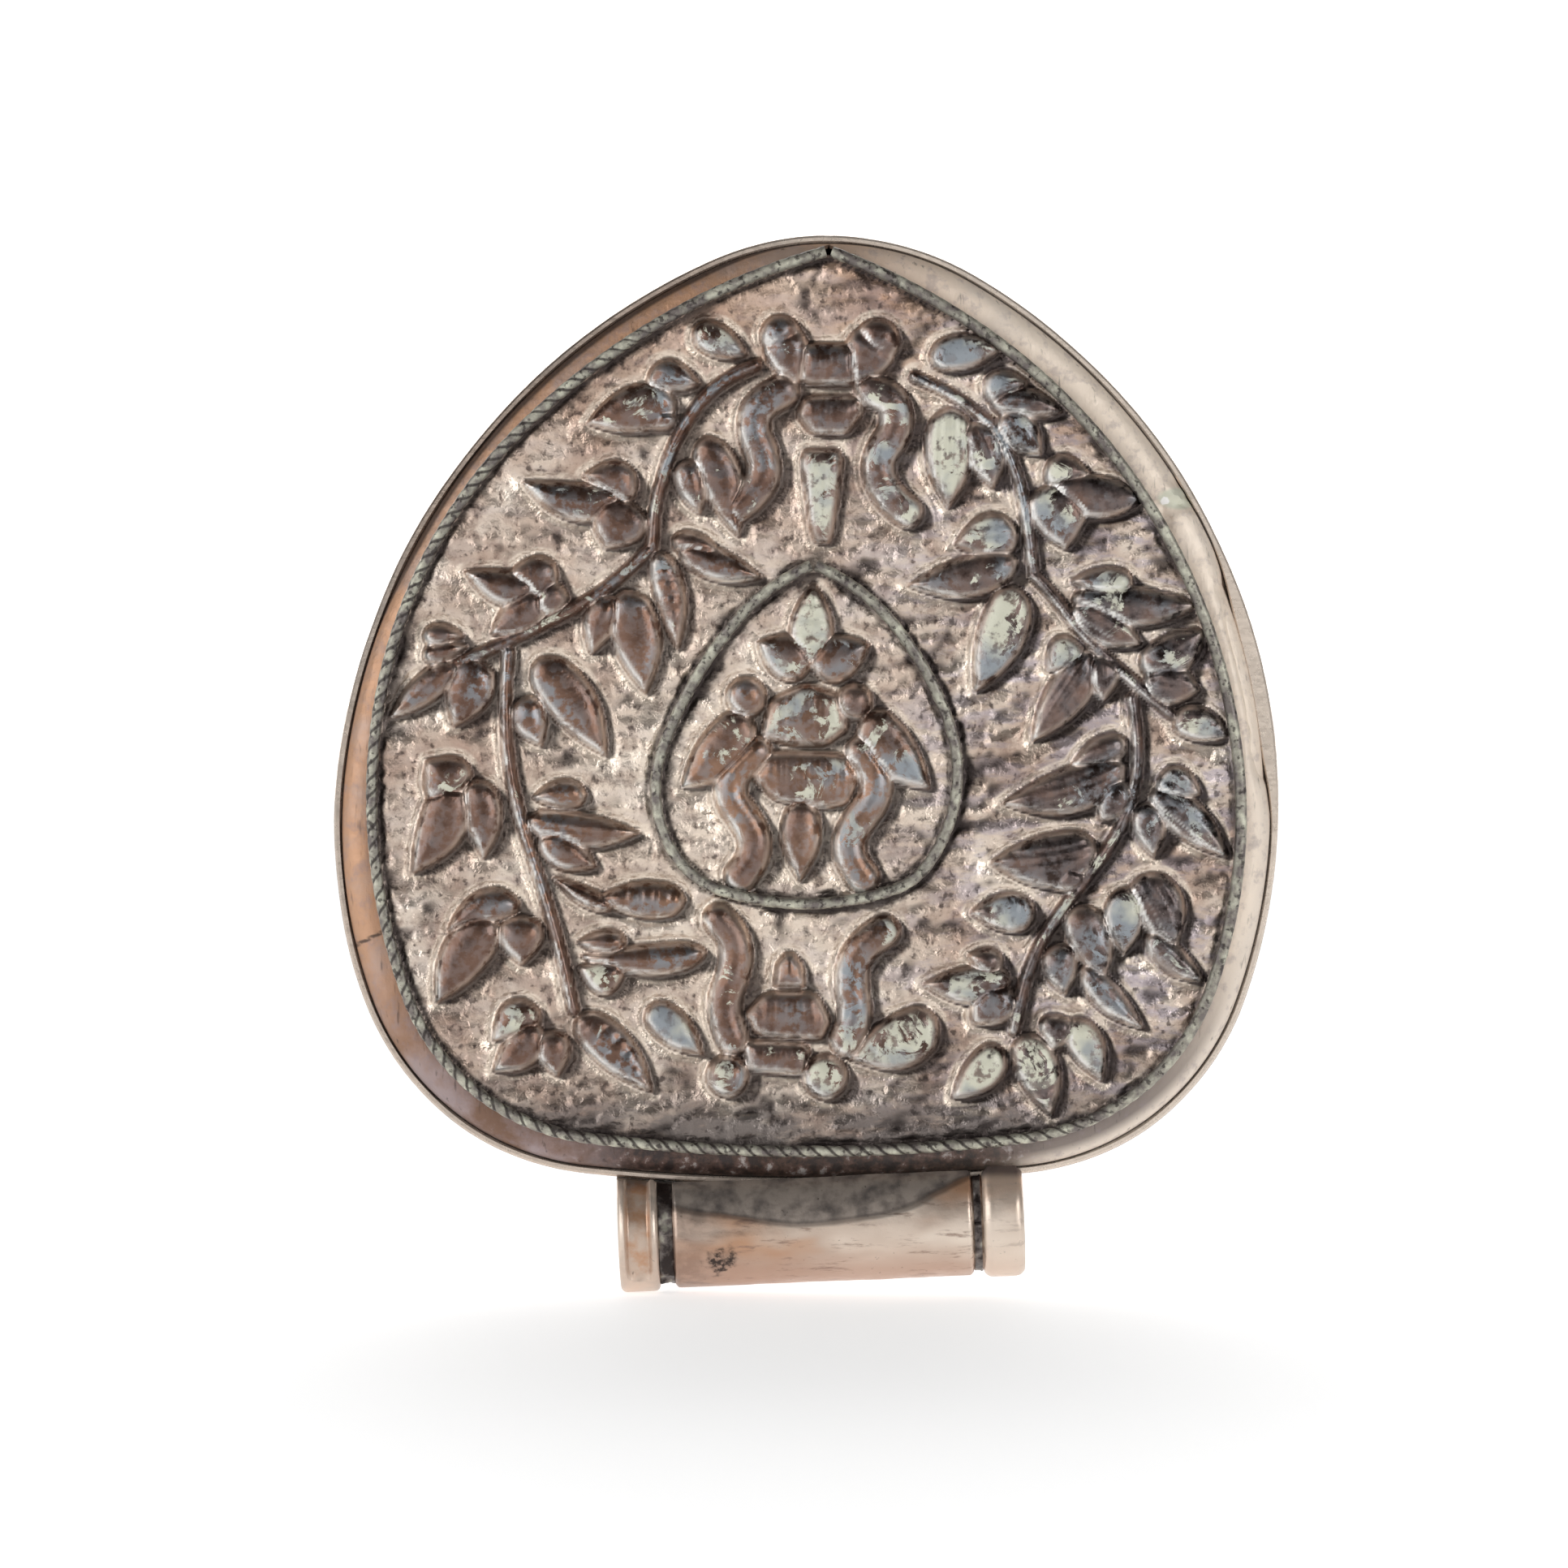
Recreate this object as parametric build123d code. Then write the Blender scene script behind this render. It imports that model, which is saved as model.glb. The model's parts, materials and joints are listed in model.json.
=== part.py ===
# Ghau amulet box: a pear-shaped silver case with a repousse front, a cord tube and a lift-off back cover.
# Millimetres. X is right, Y goes to the back, Z is up; the box stands on its cord tube with the point up.
from build123d import *
import os
from math import atan2, cos, hypot, radians, sin, tan

import numpy as np

# Case outline, seen from the front. Headings are the directions of travel, in degrees, where one arc of
# the outline hands over to the next: 0 at the middle of the bottom, 90 at the widest place, 180 at the top.
BODY_WIDTH = 80.6
BODY_HEIGHT = 81.0
APEX_LEAN = 1.9              # the point leans to the right of the middle
UNDERSIDE_RADIUS = 180.0     # the nearly flat bottom over the cord tube
APEX_RADIUS = 24.5
BODY_HEADINGS_RIGHT = (6.0, 70.0, 97.0, 150.0, 180.0)
BODY_HEADINGS_LEFT = (6.0, 70.0, 97.0, 156.0, 180.0)

# Case depth and sheet
BOX_DEPTH = 17.6             # from the flange face to the outside of the back plate
FRONT_DEPTH = 10.5           # from the flange face to the seam with the back cover
WALL = 0.7
BEZEL_SHEET = 0.6
ROLL_RADIUS = 2.2            # rolled outer edge of the flange
ROLL_TURNS = (0.0, 30.0, 60.0, 90.0)  # degrees at which the strips of the roll meet
LIP_STEP = 0.6               # the wall's lip covers the end of the roll by this much
BEZEL_SKIRT = 1.8            # straight part of the flange that lines the wall
SEAT_WIDTH = 2.3             # flange under the rim of the panel

# Repousse panel and its two wires
FLANGE_SIDE = 2.95           # visible flange beside the panel
FLANGE_BOTTOM = 2.7
FLANGE_TOP = 0.95
PANEL_SHEET = 0.6
PANEL_LEAN = 1.9
PANEL_UNDERSIDE_RADIUS = 153.0
PANEL_APEX_RADIUS = 60.0
PANEL_HEADINGS_RIGHT = (7.0, 70.0, 97.0, 145.7, 159.7)
PANEL_HEADINGS_LEFT = (7.0, 70.0, 97.0, 135.8, 164.7)
MEDALLION_WIDTH = 26.6
MEDALLION_HEIGHT = 29.8
MEDALLION_HEIGHT_ON_PANEL = 21.05
MEDALLION_LEAN = 0.6
MEDALLION_UNDERSIDE_RADIUS = 24.0
MEDALLION_APEX_RADIUS = 18.0
MEDALLION_HEADINGS = (18.0, 55.0, 110.0, 129.0, 158.0)
WIRE_WIDTH = 1.0
WIRE_RISE = 0.9
WIRE_SLOPE = 0.28            # each flank of a wire leans in by this much
WIRE_END_GAP = 0.15          # each end of a wire stops this far short of meeting the other
WIRE_CLEARANCE = 0.1         # between a wire and the relief beside it

# Ornament heights over the ground of the panel
LEAF_RISE = 1.3
RIBBON_RISE = 1.4
STEM_RISE = 0.7
BALL_RISE = 1.7
BLOCK_RISE = 1.2
STEM_WIDTH = 1.1
RIBBON_WIDTH = 2.7
LEAF_ROOT = 0.55             # width of a leaf's blunt root against its full width
LEAF_TURNS = (0.0, 0.3, 0.65, 1.0)  # shares of a leaf's length at which its sides turn
BALL_SIDES = 16
RELIEF_SLOPE = 22.0          # degrees that the flanks of the relief lean in from upright
RELIEF_ROOT_DEPTH = 0.25     # relief is carried into the sheet by this much

# Back cover
RIM_CLEARANCE = 0.3          # between the sleeve and the front wall
SEAM_GAP = 0.1
SLEEVE_SHEET = 0.6
SLEEVE_ENGAGEMENT = 5.2
PLATE_SHEET = 0.7
PLATE_EDGE_BEVEL = 0.35

# Cord tube soldered under the case, a little askew
TUBE_TILT = 2.3              # degrees, left end low
TUBE_OFFSET = 1.25           # its middle lies right of the middle of the case
TUBE_PROUD = 2.8             # stands in front of the flange face
BORE_RADIUS = 2.7
CORE_WALL = 1.7
BARREL_WALL = 0.7
COLLAR_WALL = 0.8
BARREL_LENGTH = 25.4
LEFT_NECK = 1.3
RIGHT_NECK = 0.9
LEFT_COLLAR_LENGTH = 3.4
RIGHT_COLLAR_LENGTH = 3.5
COLLAR_BEVEL = 0.6
BARREL_BEVEL = 0.4
SEAT_WALL = 0.55             # metal left between the bore and the case
SOLDER_GAP = 0.05
COLLAR_HOLLOW_DEPTH = 0.5
COLLAR_HOLLOW_WIDTH = 2.2
COLLAR_HOLLOW_HEIGHT = 7.3
COLLAR_HOLLOW_FRONT = 1.8    # the hollow keeps this far in front of the tube's axis

# The panel and medallion that the ornament below is laid out on: width, height and bottom
DRAWN_PANEL = (74.7, 77.35, 11.8)
DRAWN_MEDALLION = (26.6, 29.8, 32.85)

# Places worked out from the sizes above
core_radius = BORE_RADIUS + CORE_WALL
barrel_radius = core_radius + BARREL_WALL
collar_radius = core_radius + COLLAR_WALL
tube_length = LEFT_COLLAR_LENGTH + LEFT_NECK + BARREL_LENGTH + RIGHT_NECK + RIGHT_COLLAR_LENGTH
tube_z = (tube_length / 2 - COLLAR_BEVEL) * sin(radians(TUBE_TILT)) + collar_radius * cos(radians(TUBE_TILT))
body_bottom = tube_z + BORE_RADIUS + SEAT_WALL
y_land = TUBE_PROUD - (BOX_DEPTH + TUBE_PROUD) / 2
y_lip = y_land + ROLL_RADIUS - LIP_STEP
y_skirt = y_land + ROLL_RADIUS + BEZEL_SKIRT
y_seam = y_land + FRONT_DEPTH
y_back = y_land + BOX_DEPTH
y_panel = y_land - PANEL_SHEET
tube_y = y_land - TUBE_PROUD + collar_radius
rim_wall = WALL + RIM_CLEARANCE
bezel_opening = FLANGE_SIDE + SEAT_WIDTH
panel_width = BODY_WIDTH - 2 * FLANGE_SIDE
panel_height = BODY_HEIGHT - FLANGE_BOTTOM - FLANGE_TOP
panel_bottom = body_bottom + FLANGE_BOTTOM
medallion_bottom = panel_bottom + MEDALLION_HEIGHT_ON_PANEL

# Ornament, in millimetres on the drawn panel.
# A leaf is (root x, root z, tip x, tip z, width, bow); a bow above 0 bends it to the left of its own way.
LEAVES = [
    # upper left spray
    (-9.6, 82.0, -4.9, 79.8, 2.6, 0.0),
    (-13.6, 77.8, -8.9, 77.3, 2.6, 0.5),
    (-10.9, 76.0, -18.7, 74.0, 3.6, -0.2),
    (-11.3, 75.4, -13.3, 73.5, 2.2, 0.0),
    (-14.3, 68.1, -19.0, 69.7, 2.9, -0.6),
    (-15.6, 67.6, -24.3, 69.2, 3.0, 0.9),
    (-15.0, 67.6, -17.2, 63.4, 4.4, 0.0),
    (-8.7, 73.0, -5.7, 64.3, 3.3, 0.2),
    (-10.3, 71.0, -9.0, 66.2, 2.5, 0.0),
    (-12.6, 63.3, -10.9, 54.7, 2.5, 0.3),
    (-11.5, 64.3, -6.8, 62.6, 2.0, 0.2),
    (-10.9, 63.6, -3.6, 61.0, 2.6, -0.3),
    # left side
    (-21.0, 60.4, -25.4, 61.4, 3.4, -0.2),
    (-22.6, 60.0, -29.1, 61.6, 2.8, 0.6),
    (-22.2, 59.6, -26.9, 56.1, 3.0, 0.2),
    (-20.6, 60.4, -23.2, 57.8, 2.6, 0.0),
    (-32.6, 56.0, -28.9, 56.1, 1.9, 0.1),
    (-32.6, 54.2, -28.6, 55.2, 1.8, 0.1),
    (-29.4, 53.8, -35.4, 49.0, 2.4, -0.1),
    (-27.8, 54.2, -30.0, 48.3, 3.7, 0.2),
    (-16.5, 59.5, -18.3, 54.4, 2.6, -0.2),
    (-15.4, 60.0, -13.6, 51.0, 3.8, 0.2),
    (-22.9, 54.2, -16.9, 45.7, 3.8, 0.3),
    (-23.9, 51.0, -22.4, 46.6, 2.8, -0.3),
    (-18.6, 42.6, -23.4, 42.3, 2.3, -0.2),
    (-23.8, 40.4, -13.9, 39.4, 2.8, -0.4),
    (-22.6, 39.4, -17.7, 36.4, 2.9, -0.3),
    (-29.2, 42.6, -32.3, 45.6, 4.0, 0.0),
    (-30.0, 44.0, -33.6, 35.8, 3.7, 0.8),
    (-28.0, 44.0, -27.4, 37.0, 3.0, 0.3),
    # lower left
    (-24.3, 33.6, -30.6, 31.0, 2.7, -0.6),
    (-26.6, 32.4, -31.5, 24.8, 3.7, -0.2),
    (-24.3, 32.4, -24.2, 28.0, 3.5, 0.0),
    (-22.6, 24.4, -26.7, 21.6, 2.8, -0.6),
    (-22.5, 23.0, -26.7, 19.0, 3.0, 0.3),
    (-21.9, 22.6, -21.1, 18.5, 2.8, 0.0),
    (-19.5, 23.9, -13.0, 17.2, 3.3, 0.2),
    (-10.2, 33.6, -18.0, 33.8, 2.9, 0.0),
    (-16.4, 32.9, -21.7, 35.7, 1.6, 0.2),
    (-15.2, 30.1, -19.6, 30.0, 2.0, 0.0),
    (-8.4, 29.2, -19.4, 28.9, 2.5, 0.5),
    (-15.4, 27.2, -19.5, 28.0, 2.8, 0.5),
    (-13.5, 24.7, -8.7, 20.4, 2.9, 0.0),
    # lower right
    (11.2, 23.6, 3.5, 20.1, 4.2, 0.5),
    (16.6, 21.2, 12.3, 16.7, 3.0, 0.3),
    (18.3, 22.3, 20.8, 15.1, 3.4, 0.3),
    (24.8, 38.0, 15.4, 36.8, 4.2, 0.5),
    (23.5, 36.8, 20.8, 34.5, 3.0, 0.0),
    (19.5, 32.6, 13.8, 32.6, 3.1, 0.0),
    (16.7, 27.9, 13.6, 29.0, 2.3, 0.0),
    (17.4, 27.0, 9.7, 26.5, 3.0, 0.4),
    (17.0, 26.6, 14.0, 23.0, 3.6, 0.2),
    (21.6, 30.0, 22.0, 25.4, 2.8, -0.3),
    (22.8, 33.2, 25.3, 26.6, 3.4, 0.2),
    (23.4, 28.2, 28.8, 22.6, 2.4, -0.4),
    (28.3, 35.8, 31.4, 29.4, 4.0, 0.3),
    (28.9, 30.8, 33.9, 26.6, 2.4, -0.3),
    (27.4, 34.8, 26.9, 28.8, 3.2, -0.2),
    (22.4, 23.6, 25.2, 18.1, 2.9, 0.2),
    (21.6, 24.0, 20.9, 20.8, 2.9, 0.0),
    # right side
    (18.0, 64.6, 12.4, 63.7, 3.4, -0.4),
    (18.0, 62.4, 8.4, 60.3, 3.2, 0.4),
    (17.8, 60.4, 14.2, 51.2, 3.8, 0.4),
    (23.4, 55.3, 20.3, 53.0, 2.8, -0.4),
    (24.4, 54.8, 19.0, 47.0, 3.4, 0.2),
    (24.8, 54.6, 25.2, 50.4, 3.0, 0.0),
    (27.8, 60.6, 22.2, 60.7, 2.4, 0.0),
    (22.4, 59.2, 33.6, 58.7, 3.2, -0.4),
    (22.6, 58.8, 28.5, 55.3, 3.4, -0.2),
    (28.4, 53.0, 33.9, 56.7, 3.4, -0.3),
    (28.6, 52.6, 33.5, 51.4, 3.6, 0.0),
    (31.0, 49.1, 36.0, 47.5, 2.7, 0.2),
    (27.2, 47.2, 22.3, 44.9, 2.5, 0.0),
    (27.2, 45.0, 16.4, 41.8, 3.6, 0.6),
    (26.8, 44.0, 24.8, 40.2, 3.0, 0.3),
    (29.6, 43.8, 33.6, 42.6, 2.8, 0.3),
    (29.2, 43.0, 35.8, 37.2, 3.1, 0.2),
    (28.8, 42.0, 29.5, 37.1, 2.7, 0.0),
    # upper right spray
    (10.3, 79.5, 17.0, 80.5, 2.8, 0.2),
    (14.9, 76.6, 18.9, 77.5, 2.6, 0.3),
    (15.5, 76.0, 22.0, 75.0, 2.5, 0.2),
    (16.5, 75.0, 20.0, 71.3, 3.0, 0.0),
    (12.2, 75.5, 12.0, 66.7, 3.8, 0.0),
    (13.8, 74.2, 15.9, 68.4, 3.3, 0.3),
    (20.0, 69.8, 24.2, 69.7, 2.6, 0.3),
    (20.6, 68.6, 29.3, 67.8, 3.4, -0.4),
    (20.6, 69.0, 22.0, 63.2, 4.4, 0.2),
]
# Medallion: jewel, side petals and hanging petal
MEDALLION_LEAVES = [
    (0.3, 54.6, 0.6, 60.7, 2.9, 0.0),
    (-0.4, 54.3, -4.1, 55.6, 3.1, 0.0),
    (1.2, 54.3, 5.3, 55.3, 3.1, 0.0),
    (-5.8, 48.2, -10.7, 43.1, 3.2, 0.4),
    (5.8, 48.8, 10.6, 43.0, 3.4, -0.5),
    (-0.4, 41.2, -0.6, 35.1, 3.0, 0.0),
]
# Ribbons hang in a slow S, along arcs through every three points; each point is (x, z)
MEDALLION_RIBBONS = [
    [(-4.3, 46.2), (-6.3, 44.5), (-6.6, 42.4), (-5.2, 40.5), (-4.3, 38.8), (-4.6, 37.0), (-5.6, 35.7)],
    [(4.7, 46.2), (5.9, 44.7), (5.9, 42.4), (4.4, 40.4), (3.5, 38.6), (3.9, 36.8), (4.8, 35.6)],
]
RIBBONS = [
    [(-2.0, 76.8), (-4.2, 75.5), (-4.6, 73.5), (-3.7, 71.5), (-3.5, 69.5), (-4.8, 67.8), (-6.0, 67.0)],
    [(5.5, 76.8), (7.5, 76.0), (7.7, 73.5), (6.2, 71.5), (6.0, 69.5), (7.3, 67.5), (8.5, 66.6)],
    [(-7.4, 32.0), (-6.2, 30.6), (-5.9, 28.6), (-6.4, 26.8), (-7.0, 25.2), (-6.9, 23.6), (-6.3, 21.9)],
    [(6.6, 31.0), (5.0, 30.0), (3.9, 28.3), (3.8, 26.4), (4.1, 24.9), (4.1, 23.4), (3.4, 21.7)],
]
# Stems run through the sprays as half-round lines
STEMS = [
    [(-4.3, 79.0), (-6.0, 78.3), (-8.0, 77.0), (-9.5, 75.3), (-11.5, 72.0), (-12.9, 67.0), (-13.1, 63.6)],
    [(-13.3, 63.4), (-15.6, 61.2), (-19.0, 58.7), (-25.0, 55.8), (-31.5, 52.8)],
    [(-25.3, 54.7), (-25.6, 50.0), (-25.3, 45.0), (-24.2, 40.0), (-22.2, 34.0), (-20.8, 29.0), (-19.8, 24.3)],
    [(9.2, 78.0), (12.0, 76.7), (14.5, 75.0), (16.5, 73.0), (18.1, 69.0), (18.8, 65.0), (19.2, 61.5)],
    [(19.2, 61.3), (20.8, 59.6), (23.0, 56.6), (26.6, 53.1), (30.8, 49.5)],
    [(27.6, 50.8), (28.1, 47.0), (27.9, 43.0), (26.0, 38.4), (22.6, 34.2), (19.0, 28.9), (17.6, 22.6)],
]
# Balls of the bows, as (x, z, radius)
BALLS = [(-2.2, 81.5, 1.8), (6.0, 81.0, 2.0), (-6.7, 18.7, 1.9), (1.6, 18.6, 2.0)]
MEDALLION_BALLS = [(-5.1, 50.9, 1.8), (4.1, 50.5, 1.6)]
# Blocks and saddles between the balls and ribbons, as corner points
BLOCKS = [
    [(-0.6, 77.2), (4.4, 77.2), (4.6, 80.4), (3.8, 80.9), (0.2, 80.9), (-0.8, 80.4)],
    [(-1.0, 74.7), (0.3, 73.0), (3.5, 73.0), (5.0, 74.9), (4.5, 76.5), (-0.2, 76.5)],
    [(0.4, 63.8), (2.3, 63.8), (3.4, 72.0), (-0.8, 72.0)],
    [(-5.0, 24.0), (-4.0, 22.5), (-1.0, 22.0), (1.0, 22.0), (1.8, 23.4), (0.6, 25.6), (-3.2, 25.6)],
    [(-2.9, 26.1), (0.1, 26.1), (-0.2, 28.2), (-1.0, 29.3), (-1.9, 29.3), (-2.7, 28.2)],
    [(-4.9, 19.4), (-0.2, 19.0), (0.0, 21.5), (-5.2, 21.7)],
]
MEDALLION_BLOCKS = [
    [(-3.4, 47.6), (-1.5, 46.9), (1.8, 46.9), (3.2, 48.4), (2.2, 51.0), (0.0, 51.8), (-2.6, 50.6)],
    [(-4.1, 44.0), (-2.5, 42.5), (1.5, 41.7), (3.1, 42.2), (4.0, 44.2), (3.0, 46.0), (-3.0, 46.2)],
]


class Outline:
    """A pear outline: two halves of five tangent arcs each, from the middle of the bottom to the point."""

    def __init__(self, width, height, lean, headings_right, headings_left, first_radius, last_radius, bottom):
        self.right = self.half(width, height, lean, headings_right, first_radius, last_radius, bottom)
        self.left = self.half(width, height, -lean, headings_left, first_radius, last_radius, bottom)
        self.pointed = headings_right[-1] < 180.0

    @staticmethod
    def half(width, height, lean, headings, first_radius, last_radius, bottom):
        """Arcs as (centre x, centre z, radius, first heading, last heading), drawn as a right half.

        The middle three radii follow from the width, the height and the place of the point.
        """
        turn = np.radians([0.0, *headings])
        across = np.diff(np.sin(turn))
        up = -np.diff(np.cos(turn))
        to_widest = np.diff(np.sin(np.minimum(turn, np.pi / 2)))
        rows = np.array([across, up, to_widest])
        goal = np.array([lean, height, width / 2])
        radii = np.linalg.solve(rows[:, 1:4], goal - rows[:, 0] * first_radius - rows[:, 4] * last_radius)
        arcs = []
        x, z = 0.0, bottom
        for radius, start, end in zip([first_radius, *radii, last_radius], turn[:-1], turn[1:]):
            centre_x = x - radius * sin(start)
            centre_z = z + radius * cos(start)
            arcs.append((centre_x, centre_z, radius, start, end))
            x = centre_x + radius * sin(end)
            z = centre_z - radius * cos(end)
        return arcs

    def end_headings(self, inset):
        """Headings at which the last right and left arcs stop, once the outline is drawn in by inset."""
        rx, rz, r_radius, _, r_end = self.right[-1]
        lx, lz, l_radius, _, l_end = self.left[-1]
        if not self.pointed:
            return r_end, l_end
        a = r_radius - inset
        b = l_radius - inset
        dx = -lx - rx
        dz = lz - rz
        apart = hypot(dx, dz)
        along = (apart**2 + a**2 - b**2) / (2 * apart)
        aside = (a**2 - along**2) ** 0.5
        crossings = [(rx + (along * dx - s * aside * dz) / apart, rz + (along * dz + s * aside * dx) / apart)
                     for s in (1, -1)]
        x, z = max(crossings, key=lambda point: point[1])
        return atan2(x - rx, rz - z), atan2(-x - lx, lz - z)

    def side(self, arcs, mirror, inset, last_heading):
        """Edges of one half, drawn in by inset, from the bottom to last_heading."""
        edges = []
        for centre_x, centre_z, radius, start, end in arcs[:-1] + [arcs[-1][:4] + (last_heading,)]:
            reach = radius - inset
            points = [(mirror * (centre_x + reach * sin(turn)), centre_z - reach * cos(turn))
                      for turn in (start, (start + end) / 2, end)]
            edges.append(ThreePointArc(*points))
        return edges

    def face(self, inset=0.0):
        right_end, left_end = self.end_headings(inset)
        return make_face(self.side(self.right, 1, inset, right_end) + self.side(self.left, -1, inset, left_end))

    def ring(self, outer_inset, inner_inset):
        return self.face(outer_inset) - self.face(inner_inset)

    def wire_band(self, width, slope, end_gap):
        """A band along the inside of the outline, open at the point, drawn in by slope on both sides."""
        right_end, left_end = self.end_headings(width)
        right_end -= end_gap / self.right[-1][2]
        left_end -= end_gap / self.left[-1][2]
        outer = [self.side(self.right, 1, slope, right_end), self.side(self.left, -1, slope, left_end)]
        far = width - slope
        inner = [self.side(self.right, 1, far, right_end), self.side(self.left, -1, far, left_end)]
        ends = [Line(outer[half][-1] @ 1, inner[half][-1] @ 1) for half in (0, 1)]
        return make_face(outer[0] + outer[1] + inner[0] + inner[1] + ends)


def at_depth(shape, y):
    """Stand a shape drawn in (x, z) up in the plane at depth y, facing the front."""
    return Plane(origin=(0, y, 0), x_dir=(1, 0, 0), z_dir=(0, -1, 0)) * shape


def slab(shape, y_front, y_rear):
    return extrude(at_depth(shape, y_rear), amount=y_rear - y_front)


def front_edges(solid):
    return solid.faces().sort_by(Axis.Y)[0].edges()


def rolled_slab(outline, inset, y_front, y_rear):
    """A slab inside an outline drawn in by inset, with its front edge rolled over in strips."""
    rings = [(inset, y_rear)]
    for turn in ROLL_TURNS:
        inward = ROLL_RADIUS * (1 - cos(radians(turn)))
        backward = ROLL_RADIUS * (1 - sin(radians(turn)))
        rings.append((inset + inward, y_front + backward))
    return loft([at_depth(outline.face(ring_inset), y) for ring_inset, y in rings], ruled=True)


def stretch(points, drawn, width, height, bottom):
    """Carry drawn (x, z) points over to a panel or medallion of another size."""
    return [(x * width / drawn[0], bottom + (z - drawn[2]) * height / drawn[1]) for x, z in points]


def on_panel(points):
    return stretch(points, DRAWN_PANEL, panel_width, panel_height, panel_bottom)


def on_medallion(points):
    return stretch(points, DRAWN_MEDALLION, MEDALLION_WIDTH, MEDALLION_HEIGHT, medallion_bottom)


def leaf_face(root, tip, width, bow):
    """Blunt root, two bowed sides in straight strokes and a sharp tip."""
    root = Vector(*root)
    along = Vector(*tip) - root
    left = Vector(-along.Y, along.X).normalized()
    sides = [[], []]
    for share in LEAF_TURNS:
        middle = root + along * share + left * (4 * bow * share * (1 - share))
        half = width / 2 * (LEAF_ROOT * (1 - share) * (1 - 2 * share) + 4 * share * (1 - share))
        sides[0].append(middle + left * half)
        sides[1].append(middle - left * half)
    return make_face(Polyline(*sides[1], *sides[0][-2::-1], close=True))


def band_sides(points, width):
    """Points along the left and right sides of a band of even width."""
    centre = [Vector(*point) for point in points]
    ways = [(b - a).normalized() for a, b in zip([centre[0], *centre[:-1]], [*centre[1:], centre[-1]])]
    lefts = [Vector(-way.Y, way.X) * (width / 2) for way in ways]
    return [c + n for c, n in zip(centre, lefts)], [c - n for c, n in zip(centre, lefts)]


def stem_face(points, width):
    """A band in straight strokes from point to point."""
    left, right = band_sides(points, width)
    return make_face(Polyline(*right, *left[::-1], close=True))


def ribbon_face(points, width):
    """A band along arcs through every three points of an odd number."""
    sides = band_sides(points, width)
    edges = [ThreePointArc(*side[i:i + 3]) for side in sides for i in range(0, len(side) - 2, 2)]
    ends = [Line(sides[0][i], sides[1][i]) for i in (0, -1)]
    return make_face(edges + ends)


def raised(drawn, rise):
    """Relief with a drawn outline that stands out of the panel by rise, on sloped flanks."""
    face = drawn.face()
    if face.normal_at().Z < 0:
        face = -face
    blank = extrude(face, amount=rise + RELIEF_ROOT_DEPTH, taper=RELIEF_SLOPE)
    return at_depth(blank, y_panel + RELIEF_ROOT_DEPTH)


def raised_ribbon(points):
    """A ribbon that stands out of the panel on sloped flanks."""
    drawn_in = (RIBBON_RISE + RELIEF_ROOT_DEPTH) * tan(radians(RELIEF_SLOPE))
    foot = at_depth(ribbon_face(points, RIBBON_WIDTH), y_panel + RELIEF_ROOT_DEPTH)
    crest = at_depth(ribbon_face(points, RIBBON_WIDTH - 2 * drawn_in), y_panel - RIBBON_RISE)
    return loft([foot, crest], ruled=True)


def ornament():
    """All the raised work of the panel, as a list of solids."""
    solids = []
    for leaves, place in ((LEAVES, on_panel), (MEDALLION_LEAVES, on_medallion)):
        for root_x, root_z, tip_x, tip_z, width, bow in leaves:
            root, tip = place([(root_x, root_z), (tip_x, tip_z)])
            solids.append(raised(leaf_face(root, tip, width, bow), LEAF_RISE))
    for ribbons, place in ((RIBBONS, on_panel), (MEDALLION_RIBBONS, on_medallion)):
        for ribbon in ribbons:
            solids.append(raised_ribbon(place(ribbon)))
    for stem in STEMS:
        solids.append(raised(stem_face(on_panel(stem), STEM_WIDTH), STEM_RISE))
    for balls, place in ((BALLS, on_panel), (MEDALLION_BALLS, on_medallion)):
        for x, z, radius in balls:
            centre = place([(x, z)])[0]
            solids.append(raised(Pos(*centre) * RegularPolygon(radius, BALL_SIDES), BALL_RISE))
    for blocks, place in ((BLOCKS, on_panel), (MEDALLION_BLOCKS, on_medallion)):
        for block in blocks:
            solids.append(raised(make_face(Polyline(*place(block), close=True)), BLOCK_RISE))
    return solids


def make_front(body, panel, medallion):
    """The soldered front half: wall, flange, panel and the two wires."""
    wall = slab(body.ring(0.0, WALL), y_lip, y_seam)

    rolled = rolled_slab(body, WALL, y_land, y_skirt)
    hollow = slab(body.face(WALL + BEZEL_SHEET), y_land + BEZEL_SHEET, y_skirt)
    hollow = chamfer(front_edges(hollow), ROLL_RADIUS - BEZEL_SHEET)
    opening = slab(body.face(bezel_opening), y_land, y_skirt)
    bezel = rolled - hollow - opening

    field = panel.face(WIRE_WIDTH + WIRE_CLEARANCE)
    field -= medallion.ring(-WIRE_CLEARANCE, WIRE_WIDTH + WIRE_CLEARANCE)
    relief = [solid & slab(field, y_panel - BALL_RISE, y_land) for solid in ornament()]
    plate = slab(panel.face(), y_panel, y_land) + relief

    wires = []
    for outline in (panel, medallion):
        foot = at_depth(outline.wire_band(WIRE_WIDTH, 0.0, WIRE_END_GAP), y_panel)
        crest = at_depth(outline.wire_band(WIRE_WIDTH, WIRE_SLOPE, WIRE_END_GAP), y_panel - WIRE_RISE)
        wires.append(loft([foot, crest], ruled=True))
    return {"front_wall": wall, "front_bezel": bezel, "repousse_panel": plate,
            "border_wire": wires[0], "medallion_wire": wires[1]}


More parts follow.
